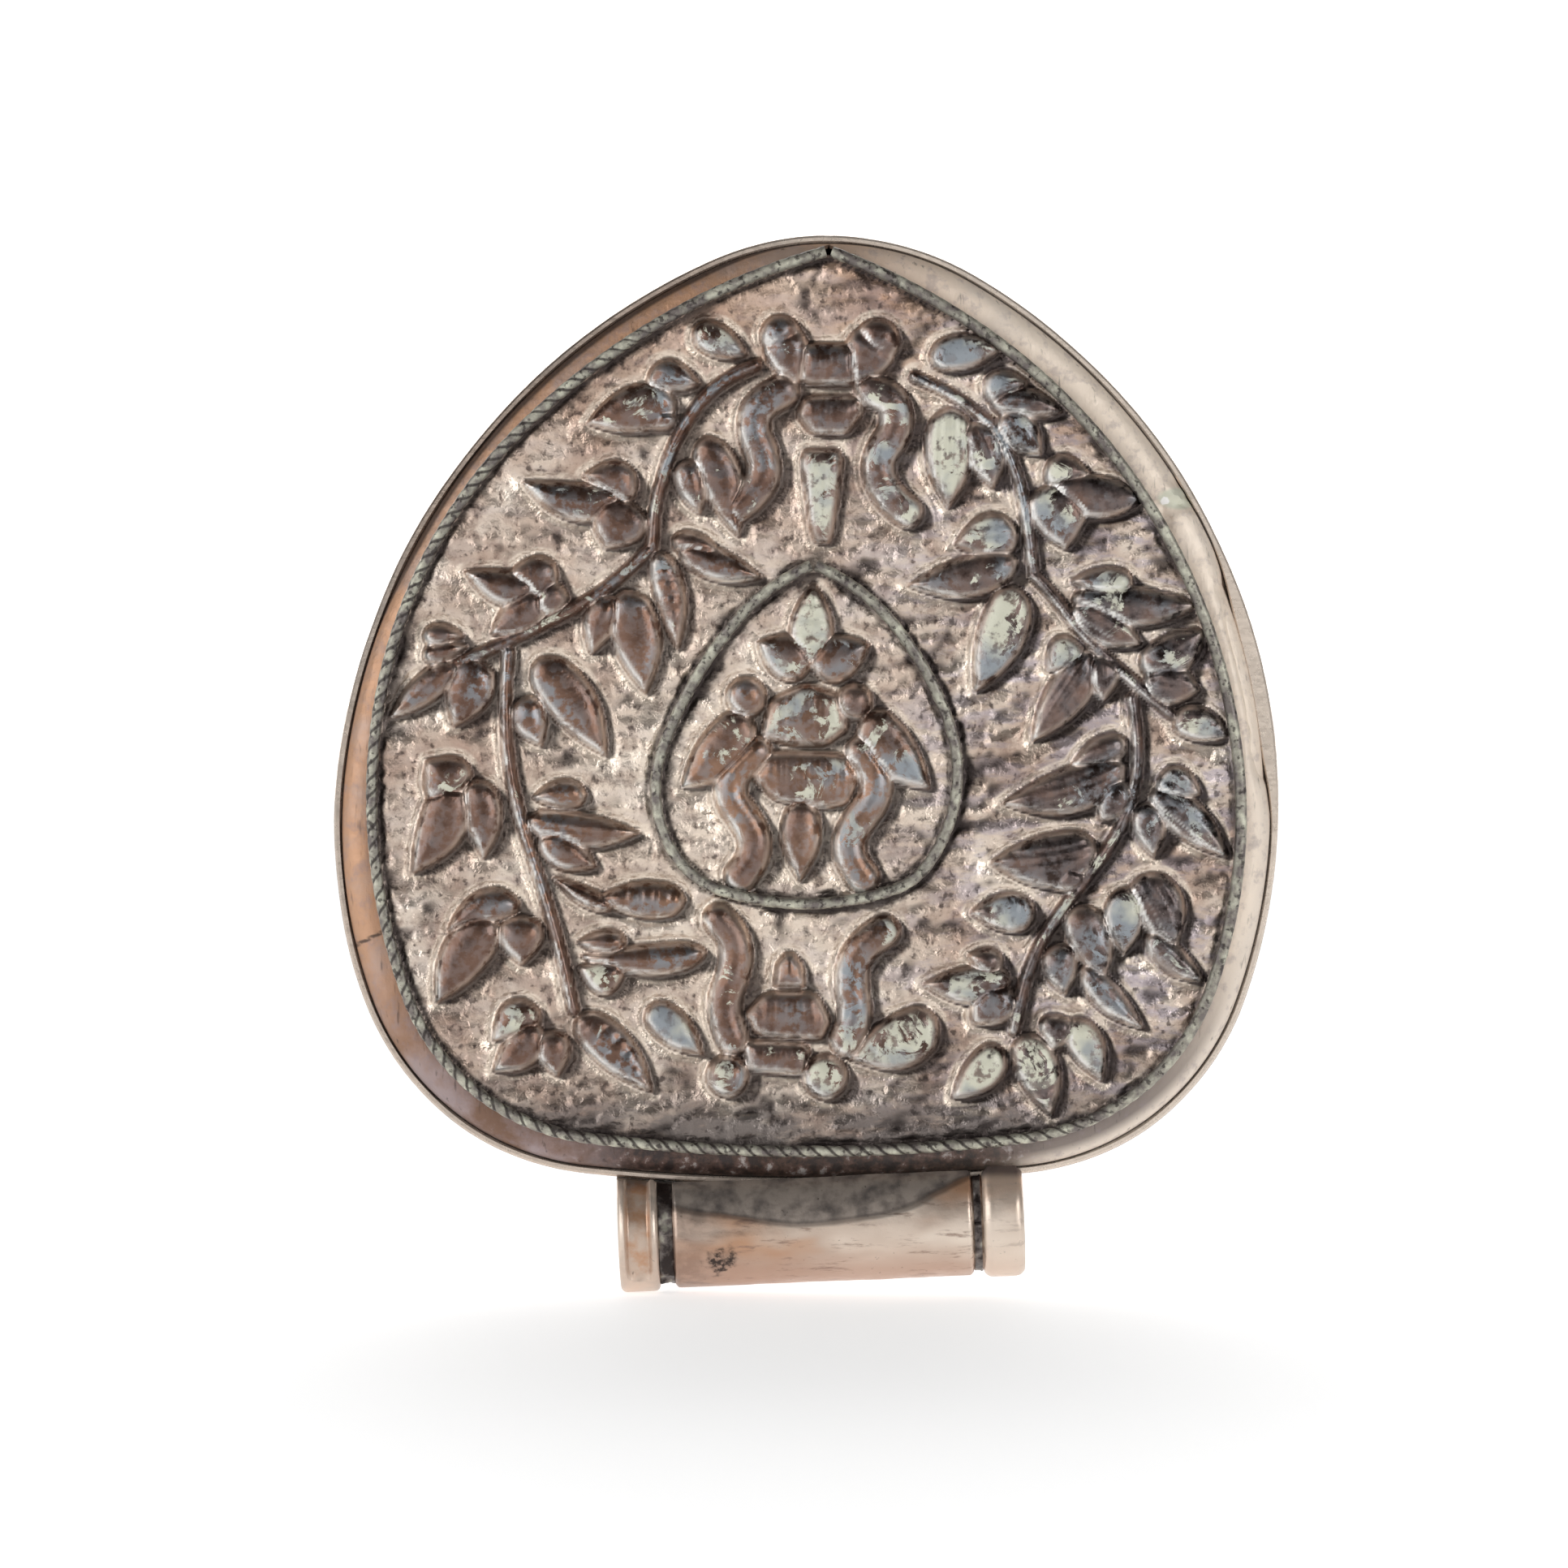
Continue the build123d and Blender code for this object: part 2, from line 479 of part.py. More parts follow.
def tube_part(inner_radius, outer_radius, length, start, bevel):
    """A ring of the cord tube, from start along its axis, with bevelled outer edges."""
    blank = Cylinder(outer_radius, length, align=(Align.CENTER, Align.CENTER, Align.MIN))
    if bevel:
        blank = chamfer(blank.edges(), bevel)
    blank -= Cylinder(inner_radius, length, align=(Align.CENTER, Align.CENTER, Align.MIN))
    return Pos(start, 0, 0) * Rot(0, 90, 0) * blank


def make_tube(body):
    """The cord tube: a core, a barrel and two collars, saddled to the underside of the case."""
    start = -tube_length / 2
    barrel_start = start + LEFT_COLLAR_LENGTH + LEFT_NECK
    right_start = barrel_start + BARREL_LENGTH + RIGHT_NECK
    left_collar = tube_part(core_radius, collar_radius, LEFT_COLLAR_LENGTH, start, COLLAR_BEVEL)
    hollow_start = start + (LEFT_COLLAR_LENGTH - COLLAR_HOLLOW_WIDTH) / 2
    hollow = tube_part(collar_radius - COLLAR_HOLLOW_DEPTH, 2 * collar_radius, COLLAR_HOLLOW_WIDTH, hollow_start, 0)
    front_only = Box(tube_length, collar_radius, COLLAR_HOLLOW_HEIGHT, align=(Align.CENTER, Align.MAX, Align.CENTER))
    left_collar -= hollow & Pos(0, -COLLAR_HOLLOW_FRONT, 0) * front_only
    pieces = {
        "bail_core": tube_part(BORE_RADIUS, core_radius, tube_length, start, 0),
        "bail_barrel": tube_part(core_radius, barrel_radius, BARREL_LENGTH, barrel_start, BARREL_BEVEL),
        "bail_collar_left": left_collar,
        "bail_collar_right": tube_part(core_radius, collar_radius, RIGHT_COLLAR_LENGTH, right_start, COLLAR_BEVEL),
    }
    rolled = slab(body.face(WALL - SOLDER_GAP), y_land - SOLDER_GAP, y_seam)
    case = fillet(front_edges(rolled), ROLL_RADIUS) + slab(body.face(-SOLDER_GAP), y_lip - SOLDER_GAP, y_seam)
    seat = Pos(TUBE_OFFSET, tube_y, tube_z) * Rot(0, -TUBE_TILT, 0)
    return {name: seat * piece - case for name, piece in pieces.items()}


def make_back(body):
    """The lift-off back: a plate, its rim and the sleeve that slides into the front wall."""
    y_inside = y_back - PLATE_SHEET
    plate = slab(body.face(), y_inside, y_back)
    rear_edges = plate.faces().sort_by(Axis.Y)[-1].edges()
    return {
        "back_plate": chamfer(rear_edges, PLATE_EDGE_BEVEL),
        "back_rim": slab(body.ring(0.0, rim_wall), y_seam + SEAM_GAP, y_inside),
        "back_sleeve": slab(body.ring(rim_wall, rim_wall + SLEEVE_SHEET), y_seam - SLEEVE_ENGAGEMENT, y_inside),
    }


body = Outline(BODY_WIDTH, BODY_HEIGHT, APEX_LEAN, BODY_HEADINGS_RIGHT, BODY_HEADINGS_LEFT,
               UNDERSIDE_RADIUS, APEX_RADIUS, body_bottom)
panel = Outline(panel_width, panel_height, PANEL_LEAN, PANEL_HEADINGS_RIGHT, PANEL_HEADINGS_LEFT,
                PANEL_UNDERSIDE_RADIUS, PANEL_APEX_RADIUS, panel_bottom)
medallion = Outline(MEDALLION_WIDTH, MEDALLION_HEIGHT, MEDALLION_LEAN, MEDALLION_HEADINGS, MEDALLION_HEADINGS,
                    MEDALLION_UNDERSIDE_RADIUS, MEDALLION_APEX_RADIUS, medallion_bottom)

os.makedirs("parts", exist_ok=True)
for node, solid in {**make_front(body, panel, medallion), **make_tube(body), **make_back(body)}.items():
    export_step(solid, f"parts/{node}.step")
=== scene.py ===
# Ghau amulet box, dressed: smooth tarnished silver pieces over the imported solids.
# Sizes are in millimetres, unless a heading says otherwise, and become metres in Blender. The front faces -Y.
import json
from math import atan2, cos, hypot, pi, radians, sin

import bmesh
import bpy
import numpy as np
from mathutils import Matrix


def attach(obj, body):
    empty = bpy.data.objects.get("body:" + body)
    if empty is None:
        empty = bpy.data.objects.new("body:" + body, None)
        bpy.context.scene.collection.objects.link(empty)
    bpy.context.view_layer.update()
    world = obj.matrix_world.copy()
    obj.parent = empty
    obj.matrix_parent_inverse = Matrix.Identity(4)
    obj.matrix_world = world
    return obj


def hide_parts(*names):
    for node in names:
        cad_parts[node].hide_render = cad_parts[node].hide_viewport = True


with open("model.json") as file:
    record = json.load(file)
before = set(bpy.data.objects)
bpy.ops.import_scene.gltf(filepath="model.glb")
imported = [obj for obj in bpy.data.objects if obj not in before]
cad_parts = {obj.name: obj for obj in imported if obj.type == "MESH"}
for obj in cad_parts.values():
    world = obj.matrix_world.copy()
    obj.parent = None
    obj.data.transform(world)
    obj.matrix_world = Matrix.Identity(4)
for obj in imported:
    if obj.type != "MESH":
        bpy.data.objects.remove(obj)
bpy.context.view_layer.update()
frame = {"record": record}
MM = 0.001

# Camera, from the photograph
CAMERA_DISTANCE = 660.0
CAMERA_ELEVATION = 2.0
VIEW_WIDTH = 133.0           # what the frame takes in at the panel
VIEW_CENTRE = (-1.9, 43.5)
SENSOR_WIDTH = 36.0

# Floor and lights, in metres and watts
FLOOR_SIZE = 4.0
FLOOR_WHITE = (0.9, 0.9, 0.9, 1.0)
FLOOR_ROUGHNESS = 0.7
FLOOR_GLOW = 0.54
LIGHT_AIM = (0.0, 0.0, 0.045)
LIGHTS = {                   # place, size and power
    "key_left": ((-2.4, -1.6, 0.465), 3.2, 66.0),
    "fill_right": ((2.0, -2.0, 0.665), 1.6, 28.0),
}
BACKDROP_GLOW = 2.8
LOW_GLOW = 0.44              # light from all round, near the horizon and high up
HIGH_GLOW = 0.03
PURE_WHITE = (1.0, 1.0, 1.0, 1.0)

# Case
BODY_WIDTH = 80.6
BODY_HEIGHT = 81.0
BODY_BOTTOM = 9.114
APEX_LEAN = 1.9
UNDERSIDE_RADIUS = 180.0
APEX_RADIUS = 24.5
BODY_HEADINGS_RIGHT = (6.0, 70.0, 97.0, 150.0, 180.0)
BODY_HEADINGS_LEFT = (6.0, 70.0, 97.0, 156.0, 180.0)
Y_LAND = -7.4                # face of the flange
Y_LIP = -5.8
Y_SKIRT = -3.4
Y_SEAM = 3.1
Y_BACK = 10.2
WALL = 0.7
RIM_WALL = 1.0
BEZEL_SHEET = 0.6
ROLL_RADIUS = 2.2
BEZEL_OPENING = 5.25
SEAM_GAP = 0.1
SLEEVE_SHEET = 0.6
SLEEVE_ENGAGEMENT = 5.2
PLATE_SHEET = 0.7
PLATE_EDGE_ROUND = 0.35
PLATE_INSET = 2.0            # where the inner face of the plate is joined to its edge

# Wear of the case
WALL_DENT = 0.12             # deepest dents
RIM_DENT = 0.1
PLATE_DENT = 0.16
FLANGE_DENT = 0.22
SHY = 0.01                   # dented bands keep this far inside the solids
TEAR = (33.2, 68.4)          # where the flange has torn
TEAR_RADIUS = 1.8
TEAR_DEPTH = 1.2
TEAR_PATCH = (31.6, 67.7)    # the pale patch beside the tear, and its half sizes
TEAR_PATCH_SIZE = (2.0, 1.0)
# a painted white glint by the tear, standing for light through a small hole, and its radius
HOLE_GLINT = (30.4, 67.5)
HOLE_GLINT_RADIUS = 0.45
CRACK = [(-38.9, 29.4), (-37.4, 30.2), (-36.0, 30.9)]
CRACK_WIDTH = 0.2
OPEN_SEAM_HEIGHT = 52.0      # wall and flange have come apart about here, on the right
OPEN_SEAM_REACH = 9.0
OPEN_SEAM_WIDTH = 1.25
OPEN_SEAM_DEPTH = 0.6
OPEN_LIP_WIDTH = 0.8         # the wall's lip is up to this much wider there

# Panel, medallion and wires
PANEL_WIDTH = 74.7
PANEL_HEIGHT = 77.35
PANEL_BOTTOM = 11.81
PANEL_SHEET = 0.6
PANEL_UNDERSIDE_RADIUS = 153.0
PANEL_APEX_RADIUS = 60.0
PANEL_HEADINGS_RIGHT = (7.0, 70.0, 97.0, 145.7, 159.7)
PANEL_HEADINGS_LEFT = (7.0, 70.0, 97.0, 135.8, 164.7)
MEDALLION_WIDTH = 26.6
MEDALLION_HEIGHT = 29.8
MEDALLION_BOTTOM = 32.86
MEDALLION_LEAN = 0.6
MEDALLION_UNDERSIDE_RADIUS = 24.0
MEDALLION_APEX_RADIUS = 18.0
MEDALLION_HEADINGS = (18.0, 55.0, 110.0, 129.0, 158.0)
WIRE_WIDTH = 1.0
WIRE_RISE = 0.9
WIRE_END_GAP = 0.02
WIRE_SIDES = 16
TWIST_PITCH = 1.4
GROOVE_DEPTH = 0.22          # share of the wire's half width, and what wear takes off it
GROOVE_WEAR = 0.17
Y_PANEL = Y_LAND - PANEL_SHEET

# Relief of the panel
GRID = 0.22                  # spacing of the panel's mesh
LEAF_RISE = 1.15
RIBBON_RISE = 1.2
STEM_RISE = 0.7
BALL_RISE = 1.35
BLOCK_RISE = 1.05
STEM_WIDTH = 1.15
RIBBON_WIDTH = 3.0
LEAF_SPREAD = 1.12           # the soft foot of a leaf makes it this much wider
LEAF_ROOT = 0.62             # width of a leaf's root against its full width
LEAF_ROUND = 0.16            # share of a leaf's length over which its root is rounded
FLANK_WIDTH = 0.5            # a motif swells from its edge to two thirds of its rise over this width
CROWN = 0.14                 # share of the rise that is a gentle crown over the whole motif
CREASE_DEPTH = 0.3           # where two leaves of a spray meet
CREASE_WIDTH = 0.35
CHASED_DEPTH = 0.24          # the line punched round each motif
CHASED_WIDTH = 0.5
HOLLOW_DEPTH = 0.22          # the wider hollow that the line lies in
HOLLOW_WIDTH = 1.5
RIB_DEPTH = 0.13
RIB_SPACING = 0.8
BAND_SPACING = 1.3
BLOCK_GROOVE_SPACING = 0.95
SEED_PLACES = (0.3, 0.52, 0.74)
SHADOW_STEPS = 7                # steps of the grid over which relief casts a painted shadow to its right and down
SHADOW_FALL = 0.55
SHADOW_DEPTH = 0.8              # ground this far below what casts the shadow is fully in painted shadow
RELIEF_REACH = 3.0           # how far from a motif its distance is worked out
MOTIF_EDGE = 0.2             # ground turns to motif over this width
MOTIF_DENT = 0.05
STEM_TARNISH = 0.45

# Hammered ground of the panel
BLOTCH_SIZE = 2.3
SMALL_BLOTCH_SIZE = 1.0
BLOTCH_DEPTH = 0.34
STROKE_SIZE = 2.4
STROKE_SQUEEZE = 3.2         # strokes are this many times as long as wide
STROKE_SLANT = 18.0
STROKE_DEPTH = 0.44
FINE_SIZE = 0.6
FINE_DEPTH = 0.2
WIRE_LINE_DEPTH = 0.2        # the line punched beside the wires
WIRE_LINE_WIDTH = 0.5
WORN = (-5.0, 41.0)          # the ground is rubbed bright round this place
WORN_REACH = (16.0, 15.0)
GRIMY_BELOW = 20.0
GRIMY_FADE = 6.0

# Cord tube
TUBE_CENTRE = (1.25, -5.0, 5.864)
TUBE_TILT = 2.3
BORE_RADIUS = 2.7
CORE_RADIUS = 4.4
BARREL_RADIUS = 5.1
COLLAR_RADIUS = 5.19
BARREL_LENGTH = 25.4
LEFT_NECK = 1.3
RIGHT_NECK = 0.9
LEFT_COLLAR_LENGTH = 3.4
RIGHT_COLLAR_LENGTH = 3.5
SOLDER_GAP = 0.05
SOLDER_RISE = 0.45
BARREL_CORNER = 0.4
LEFT_COLLAR_CORNER = 0.5
RIGHT_COLLAR_CORNER = 0.75
BARREL_DENT = 0.14
RIGHT_COLLAR_DENT = 0.1
SKIN = 0.3                   # what is this near to a surface belongs to it
CHANNEL_RADIUS = 1.15        # the U-shaped hollow in the left collar
CHANNEL_EDGE = 0.3
CHANNEL_DEPTH = 0.55
CHANNEL_LOW = -38.0          # degrees up round the tube from its front
CHANNEL_HIGH = 85.0
REFLECTION_BOWL = 15.0           # how the lower limit of the painted dark reflection curves up, per metre
BURN = (-7.3, 3.0, 1.3)      # x, z and radius of the scorch on the barrel

# Ornament on the panel. A leaf is (root x, root z, tip x, tip z, width, bow, tarnish) and its chased pattern
# where it has one. A bow above 0 bends it to the left of its own way, and tarnish is the share of its crest
# that has gone pale.
LEAVES = [
    # upper left spray
    (-9.6, 82.0, -4.9, 79.8, 2.6, 0.0, 0.6),
    (-13.6, 77.8, -8.9, 77.3, 2.6, 0.5, 0.3),
    (-10.9, 76.0, -18.7, 74.0, 3.6, -0.2, 0.5),
    (-11.3, 75.4, -13.3, 73.5, 2.2, 0.0, 0.1),
    (-14.3, 68.1, -19.0, 69.7, 2.9, -0.6, 0.3),
    (-15.6, 67.6, -24.3, 69.2, 3.0, 0.9, 0.35),
    (-15.0, 67.6, -17.2, 63.4, 4.4, 0.0, 0.1),
    (-8.7, 73.0, -5.7, 64.3, 3.3, 0.2, 0.05),
    (-10.3, 71.0, -9.0, 66.2, 2.5, 0.0, 0.25),
    (-12.6, 63.3, -10.9, 54.7, 2.5, 0.3, 0.4, "bands"),
    (-11.5, 64.3, -6.8, 62.6, 2.0, 0.2, 0.3),
    (-10.9, 63.6, -3.6, 61.0, 2.6, -0.3, 0.25),
    # left side
    (-21.0, 60.4, -25.4, 61.4, 3.4, -0.2, 0.1),
    (-22.6, 60.0, -29.1, 61.6, 2.8, 0.6, 0.15),
    (-22.2, 59.6, -26.9, 56.1, 3.0, 0.2, 0.15),
    (-20.6, 60.4, -23.2, 57.8, 2.6, 0.0, 0.1),
    (-32.6, 56.0, -28.9, 56.1, 1.9, 0.1, 0.1),
    (-32.6, 54.2, -28.6, 55.2, 1.8, 0.1, 0.1),
    (-29.4, 53.8, -35.4, 49.0, 2.4, -0.1, 0.2),
    (-27.8, 54.2, -30.0, 48.3, 3.7, 0.2, 0.25),
    (-16.5, 59.5, -18.3, 54.4, 2.6, -0.2, 0.15),
    (-15.4, 60.0, -13.6, 51.0, 3.8, 0.2, 0.05),
    (-22.9, 54.2, -16.9, 45.7, 3.8, 0.3, 0.1),
    (-23.9, 51.0, -22.4, 46.6, 2.8, -0.3, 0.25),
    (-18.6, 42.6, -23.4, 42.3, 2.3, -0.2, 0.1),
    (-23.8, 40.4, -13.9, 39.4, 2.8, -0.4, 0.05, "ribs"),
    (-22.6, 39.4, -17.7, 36.4, 2.9, -0.3, 0.15),
    (-29.2, 42.6, -32.3, 45.6, 4.0, 0.0, 0.45),
    (-30.0, 44.0, -33.6, 35.8, 3.7, 0.8, 0.1),
    (-28.0, 44.0, -27.4, 37.0, 3.0, 0.3, 0.1),
    # lower left
    (-24.3, 33.6, -30.6, 31.0, 2.7, -0.6, 0.25),
    (-26.6, 32.4, -31.5, 24.8, 3.7, -0.2, 0.15),
    (-24.3, 32.4, -24.2, 28.0, 3.5, 0.0, 0.1),
    (-22.6, 24.4, -26.7, 21.6, 2.8, -0.6, 0.7),
    (-22.5, 23.0, -26.7, 19.0, 3.0, 0.3, 0.25),
    (-21.9, 22.6, -21.1, 18.5, 2.8, 0.0, 0.15),
    (-19.5, 23.9, -13.0, 17.2, 3.3, 0.2, 0.25, "bands"),
    (-10.2, 33.6, -18.0, 33.8, 2.9, 0.0, 0.1, "bands"),
    (-16.4, 32.9, -21.7, 35.7, 1.6, 0.2, 0.2),
    (-15.2, 30.1, -19.6, 30.0, 2.0, 0.0, 0.1),
    (-8.4, 29.2, -19.4, 28.9, 2.5, 0.5, 0.15),
    (-15.4, 27.2, -19.5, 28.0, 2.8, 0.5, 0.6),
    (-13.5, 24.7, -8.7, 20.4, 2.9, 0.0, 0.95),
    # lower right
    (11.2, 23.6, 3.5, 20.1, 4.2, 0.5, 0.75, "seeds"),
    (16.6, 21.2, 12.3, 16.7, 3.0, 0.3, 1.0),
    (18.3, 22.3, 20.8, 15.1, 3.4, 0.3, 0.8, "bands"),
    (24.8, 38.0, 15.4, 36.8, 4.2, 0.5, 0.3, "ribs"),
    (23.5, 36.8, 20.8, 34.5, 3.0, 0.0, 0.1),
    (19.5, 32.6, 13.8, 32.6, 3.1, 0.0, 0.7, "bands"),
    (16.7, 27.9, 13.6, 29.0, 2.3, 0.0, 0.35),
    (17.4, 27.0, 9.7, 26.5, 3.0, 0.4, 0.65, "ribs"),
    (17.0, 26.6, 14.0, 23.0, 3.6, 0.2, 0.3),
    (21.6, 30.0, 22.0, 25.4, 2.8, -0.3, 0.35),
    (22.8, 33.2, 25.3, 26.6, 3.4, 0.2, 0.35),
    (23.4, 28.2, 28.8, 22.6, 2.4, -0.4, 0.5),
    (28.3, 35.8, 31.4, 29.4, 4.0, 0.3, 0.25, "ribs"),
    (28.9, 30.8, 33.9, 26.6, 2.4, -0.3, 0.6, "ribs"),
    (27.4, 34.8, 26.9, 28.8, 3.2, -0.2, 0.75),
    (22.4, 23.6, 25.2, 18.1, 2.9, 0.2, 0.85),
    (21.6, 24.0, 20.9, 20.8, 2.9, 0.0, 0.4),
    # right side
    (18.0, 64.6, 12.4, 63.7, 3.4, -0.4, 0.6, "ribs"),
    (18.0, 62.4, 8.4, 60.3, 3.2, 0.4, 0.4),
    (17.8, 60.4, 14.2, 51.2, 3.8, 0.4, 0.7),
    (23.4, 55.3, 20.3, 53.0, 2.8, -0.4, 0.75),
    (24.4, 54.8, 19.0, 47.0, 3.4, 0.2, 0.2, "ribs"),
    (24.8, 54.6, 25.2, 50.4, 3.0, 0.0, 0.15, "ribs"),
    (27.8, 60.6, 22.2, 60.7, 2.4, 0.0, 0.65),
    (22.4, 59.2, 33.6, 58.7, 3.2, -0.4, 0.4),
    (22.6, 58.8, 28.5, 55.3, 3.4, -0.2, 0.45, "ribs"),
    (28.4, 53.0, 33.9, 56.7, 3.4, -0.3, 0.5, "ribs"),
    (28.6, 52.6, 33.5, 51.4, 3.6, 0.0, 0.3, "ribs"),
    (31.0, 49.1, 36.0, 47.5, 2.7, 0.2, 0.7, "seeds"),
    (27.2, 47.2, 22.3, 44.9, 2.5, 0.0, 0.35, "ribs"),
    (27.2, 45.0, 16.4, 41.8, 3.6, 0.6, 0.4, "ribs"),
    (26.8, 44.0, 24.8, 40.2, 3.0, 0.3, 0.35),
    (29.6, 43.8, 33.6, 42.6, 2.8, 0.3, 0.6, "seeds"),
    (29.2, 43.0, 35.8, 37.2, 3.1, 0.2, 0.5, "ribs"),
    (28.8, 42.0, 29.5, 37.1, 2.7, 0.0, 0.45),
    # upper right spray
    (10.3, 79.5, 17.0, 80.5, 2.8, 0.2, 0.7),
    (14.9, 76.6, 18.9, 77.5, 2.6, 0.3, 0.4),
    (15.5, 76.0, 22.0, 75.0, 2.5, 0.2, 0.3, "ribs"),
    (16.5, 75.0, 20.0, 71.3, 3.0, 0.0, 0.45, "ribs"),
    (12.2, 75.5, 12.0, 66.7, 3.8, 0.0, 0.85, "ribs"),
    (13.8, 74.2, 15.9, 68.4, 3.3, 0.3, 0.4, "ribs"),
    (20.0, 69.8, 24.2, 69.7, 2.6, 0.3, 0.45),
    (20.6, 68.6, 29.3, 67.8, 3.4, -0.4, 0.25),
    (20.6, 69.0, 22.0, 63.2, 4.4, 0.2, 0.4),
    # lobes of the upper bow
    (-2.4, 82.4, -0.7, 77.2, 3.4, 0.0, 0.3),
    (6.2, 82.0, 4.0, 77.2, 3.8, 0.0, 0.1),
    # medallion: jewel, side petals and hanging petal
    (0.3, 53.6, 0.6, 60.7, 3.4, 0.0, 0.95, "bands"),
    (0.6, 53.6, -4.3, 55.6, 3.6, 0.2, 0.5),
    (0.2, 53.6, 5.5, 55.4, 3.6, -0.2, 0.45),
    (-4.8, 49.4, -10.7, 43.1, 3.9, 0.4, 0.5),
    (5.0, 49.6, 10.6, 43.0, 3.9, -0.5, 0.5),
    (-0.4, 42.2, -0.6, 35.1, 3.1, 0.0, 0.1),
]
# Ribbons and stems are lines of (x, z) points; each ribbon has its tarnish in front
RIBBONS = [
    (0.15, [(-4.3, 46.2), (-6.3, 44.5), (-6.6, 42.4), (-5.2, 40.5), (-4.3, 38.8), (-4.6, 37.0),
            (-5.6, 35.7)]),
    (0.45, [(4.7, 46.2), (5.9, 44.7), (5.9, 42.4), (4.4, 40.4), (3.5, 38.6), (3.9, 36.8), (4.8, 35.6)]),
    (0.3, [(-2.0, 76.8), (-4.2, 75.5), (-4.6, 73.5), (-3.7, 71.5), (-3.5, 69.5), (-4.8, 67.8), (-6.0, 67.0)]),
    (0.5, [(5.5, 76.8), (7.5, 76.0), (7.7, 73.5), (6.2, 71.5), (6.0, 69.5), (7.3, 67.5), (8.5, 66.6)]),
    (0.4, [(-7.4, 32.0), (-6.2, 30.6), (-5.9, 28.6), (-6.4, 26.8), (-7.0, 25.2), (-6.9, 23.6), (-6.3, 21.9)]),
    (0.55, [(6.6, 31.0), (5.0, 30.0), (3.9, 28.3), (3.8, 26.4), (4.1, 24.9), (4.1, 23.4), (3.4, 21.7)]),
]
STEMS = [
    [(-4.3, 79.0), (-6.0, 78.3), (-8.0, 77.0), (-9.5, 75.3), (-11.5, 72.0), (-12.9, 67.0), (-13.1, 63.6)],
    [(-13.3, 63.4), (-15.6, 61.2), (-19.0, 58.7), (-25.0, 55.8), (-31.5, 52.8)],
    [(-25.3, 54.7), (-25.6, 50.0), (-25.3, 45.0), (-24.2, 40.0), (-22.2, 34.0), (-20.8, 29.0), (-19.8, 24.3)],
    [(9.2, 78.0), (12.0, 76.7), (14.5, 75.0), (16.5, 73.0), (18.1, 69.0), (18.8, 65.0), (19.2, 61.5)],
    [(19.2, 61.3), (20.8, 59.6), (23.0, 56.6), (26.6, 53.1), (30.8, 49.5)],
    [(27.6, 50.8), (28.1, 47.0), (27.9, 43.0), (26.0, 38.4), (22.6, 34.2), (19.0, 28.9), (17.6, 22.6)],
]
# Balls are (x, z, radius, tarnish); a block is its tarnish and its corners
BALLS = [(-2.2, 81.5, 1.8, 0.3), (6.0, 81.0, 2.0, 0.1), (-6.7, 18.7, 1.9, 0.7), (1.6, 18.6, 2.0, 0.8),
         (-5.1, 50.9, 1.8, 0.1), (4.1, 50.5, 1.6, 0.3)]
BLOCKS = [
    (0.05, [(-0.6, 77.2), (4.4, 77.2), (4.6, 80.4), (3.8, 80.9), (0.2, 80.9), (-0.8, 80.4)]),
    (0.05, [(-1.0, 74.7), (0.3, 73.0), (3.5, 73.0), (5.0, 74.9), (4.5, 76.5), (-0.2, 76.5)]),
    (0.6, [(0.4, 63.8), (2.3, 63.8), (3.4, 72.0), (-0.8, 72.0)]),
    (0.05, [(-5.4, 24.0), (-4.4, 22.1), (-1.0, 21.7), (1.4, 21.7), (2.2, 23.4), (0.9, 26.0), (-3.5, 26.0)]),
    (0.05, [(-2.9, 26.1), (0.1, 26.1), (-0.2, 28.2), (-1.0, 29.3), (-1.9, 29.3), (-2.7, 28.2)]),
    (0.3, [(-5.2, 19.0), (0.2, 18.6), (0.4, 21.6), (-5.5, 21.9)]),
    (0.75, [(-4.0, 47.4), (-1.5, 46.7), (1.8, 46.7), (3.8, 48.2), (2.8, 51.2), (0.0, 52.2), (-3.2, 50.8)]),
    (0.55, [(-4.7, 44.0), (-2.9, 42.0), (1.5, 41.3), (3.7, 41.8), (4.6, 44.2), (3.4, 46.2), (-3.4, 46.4)]),
]


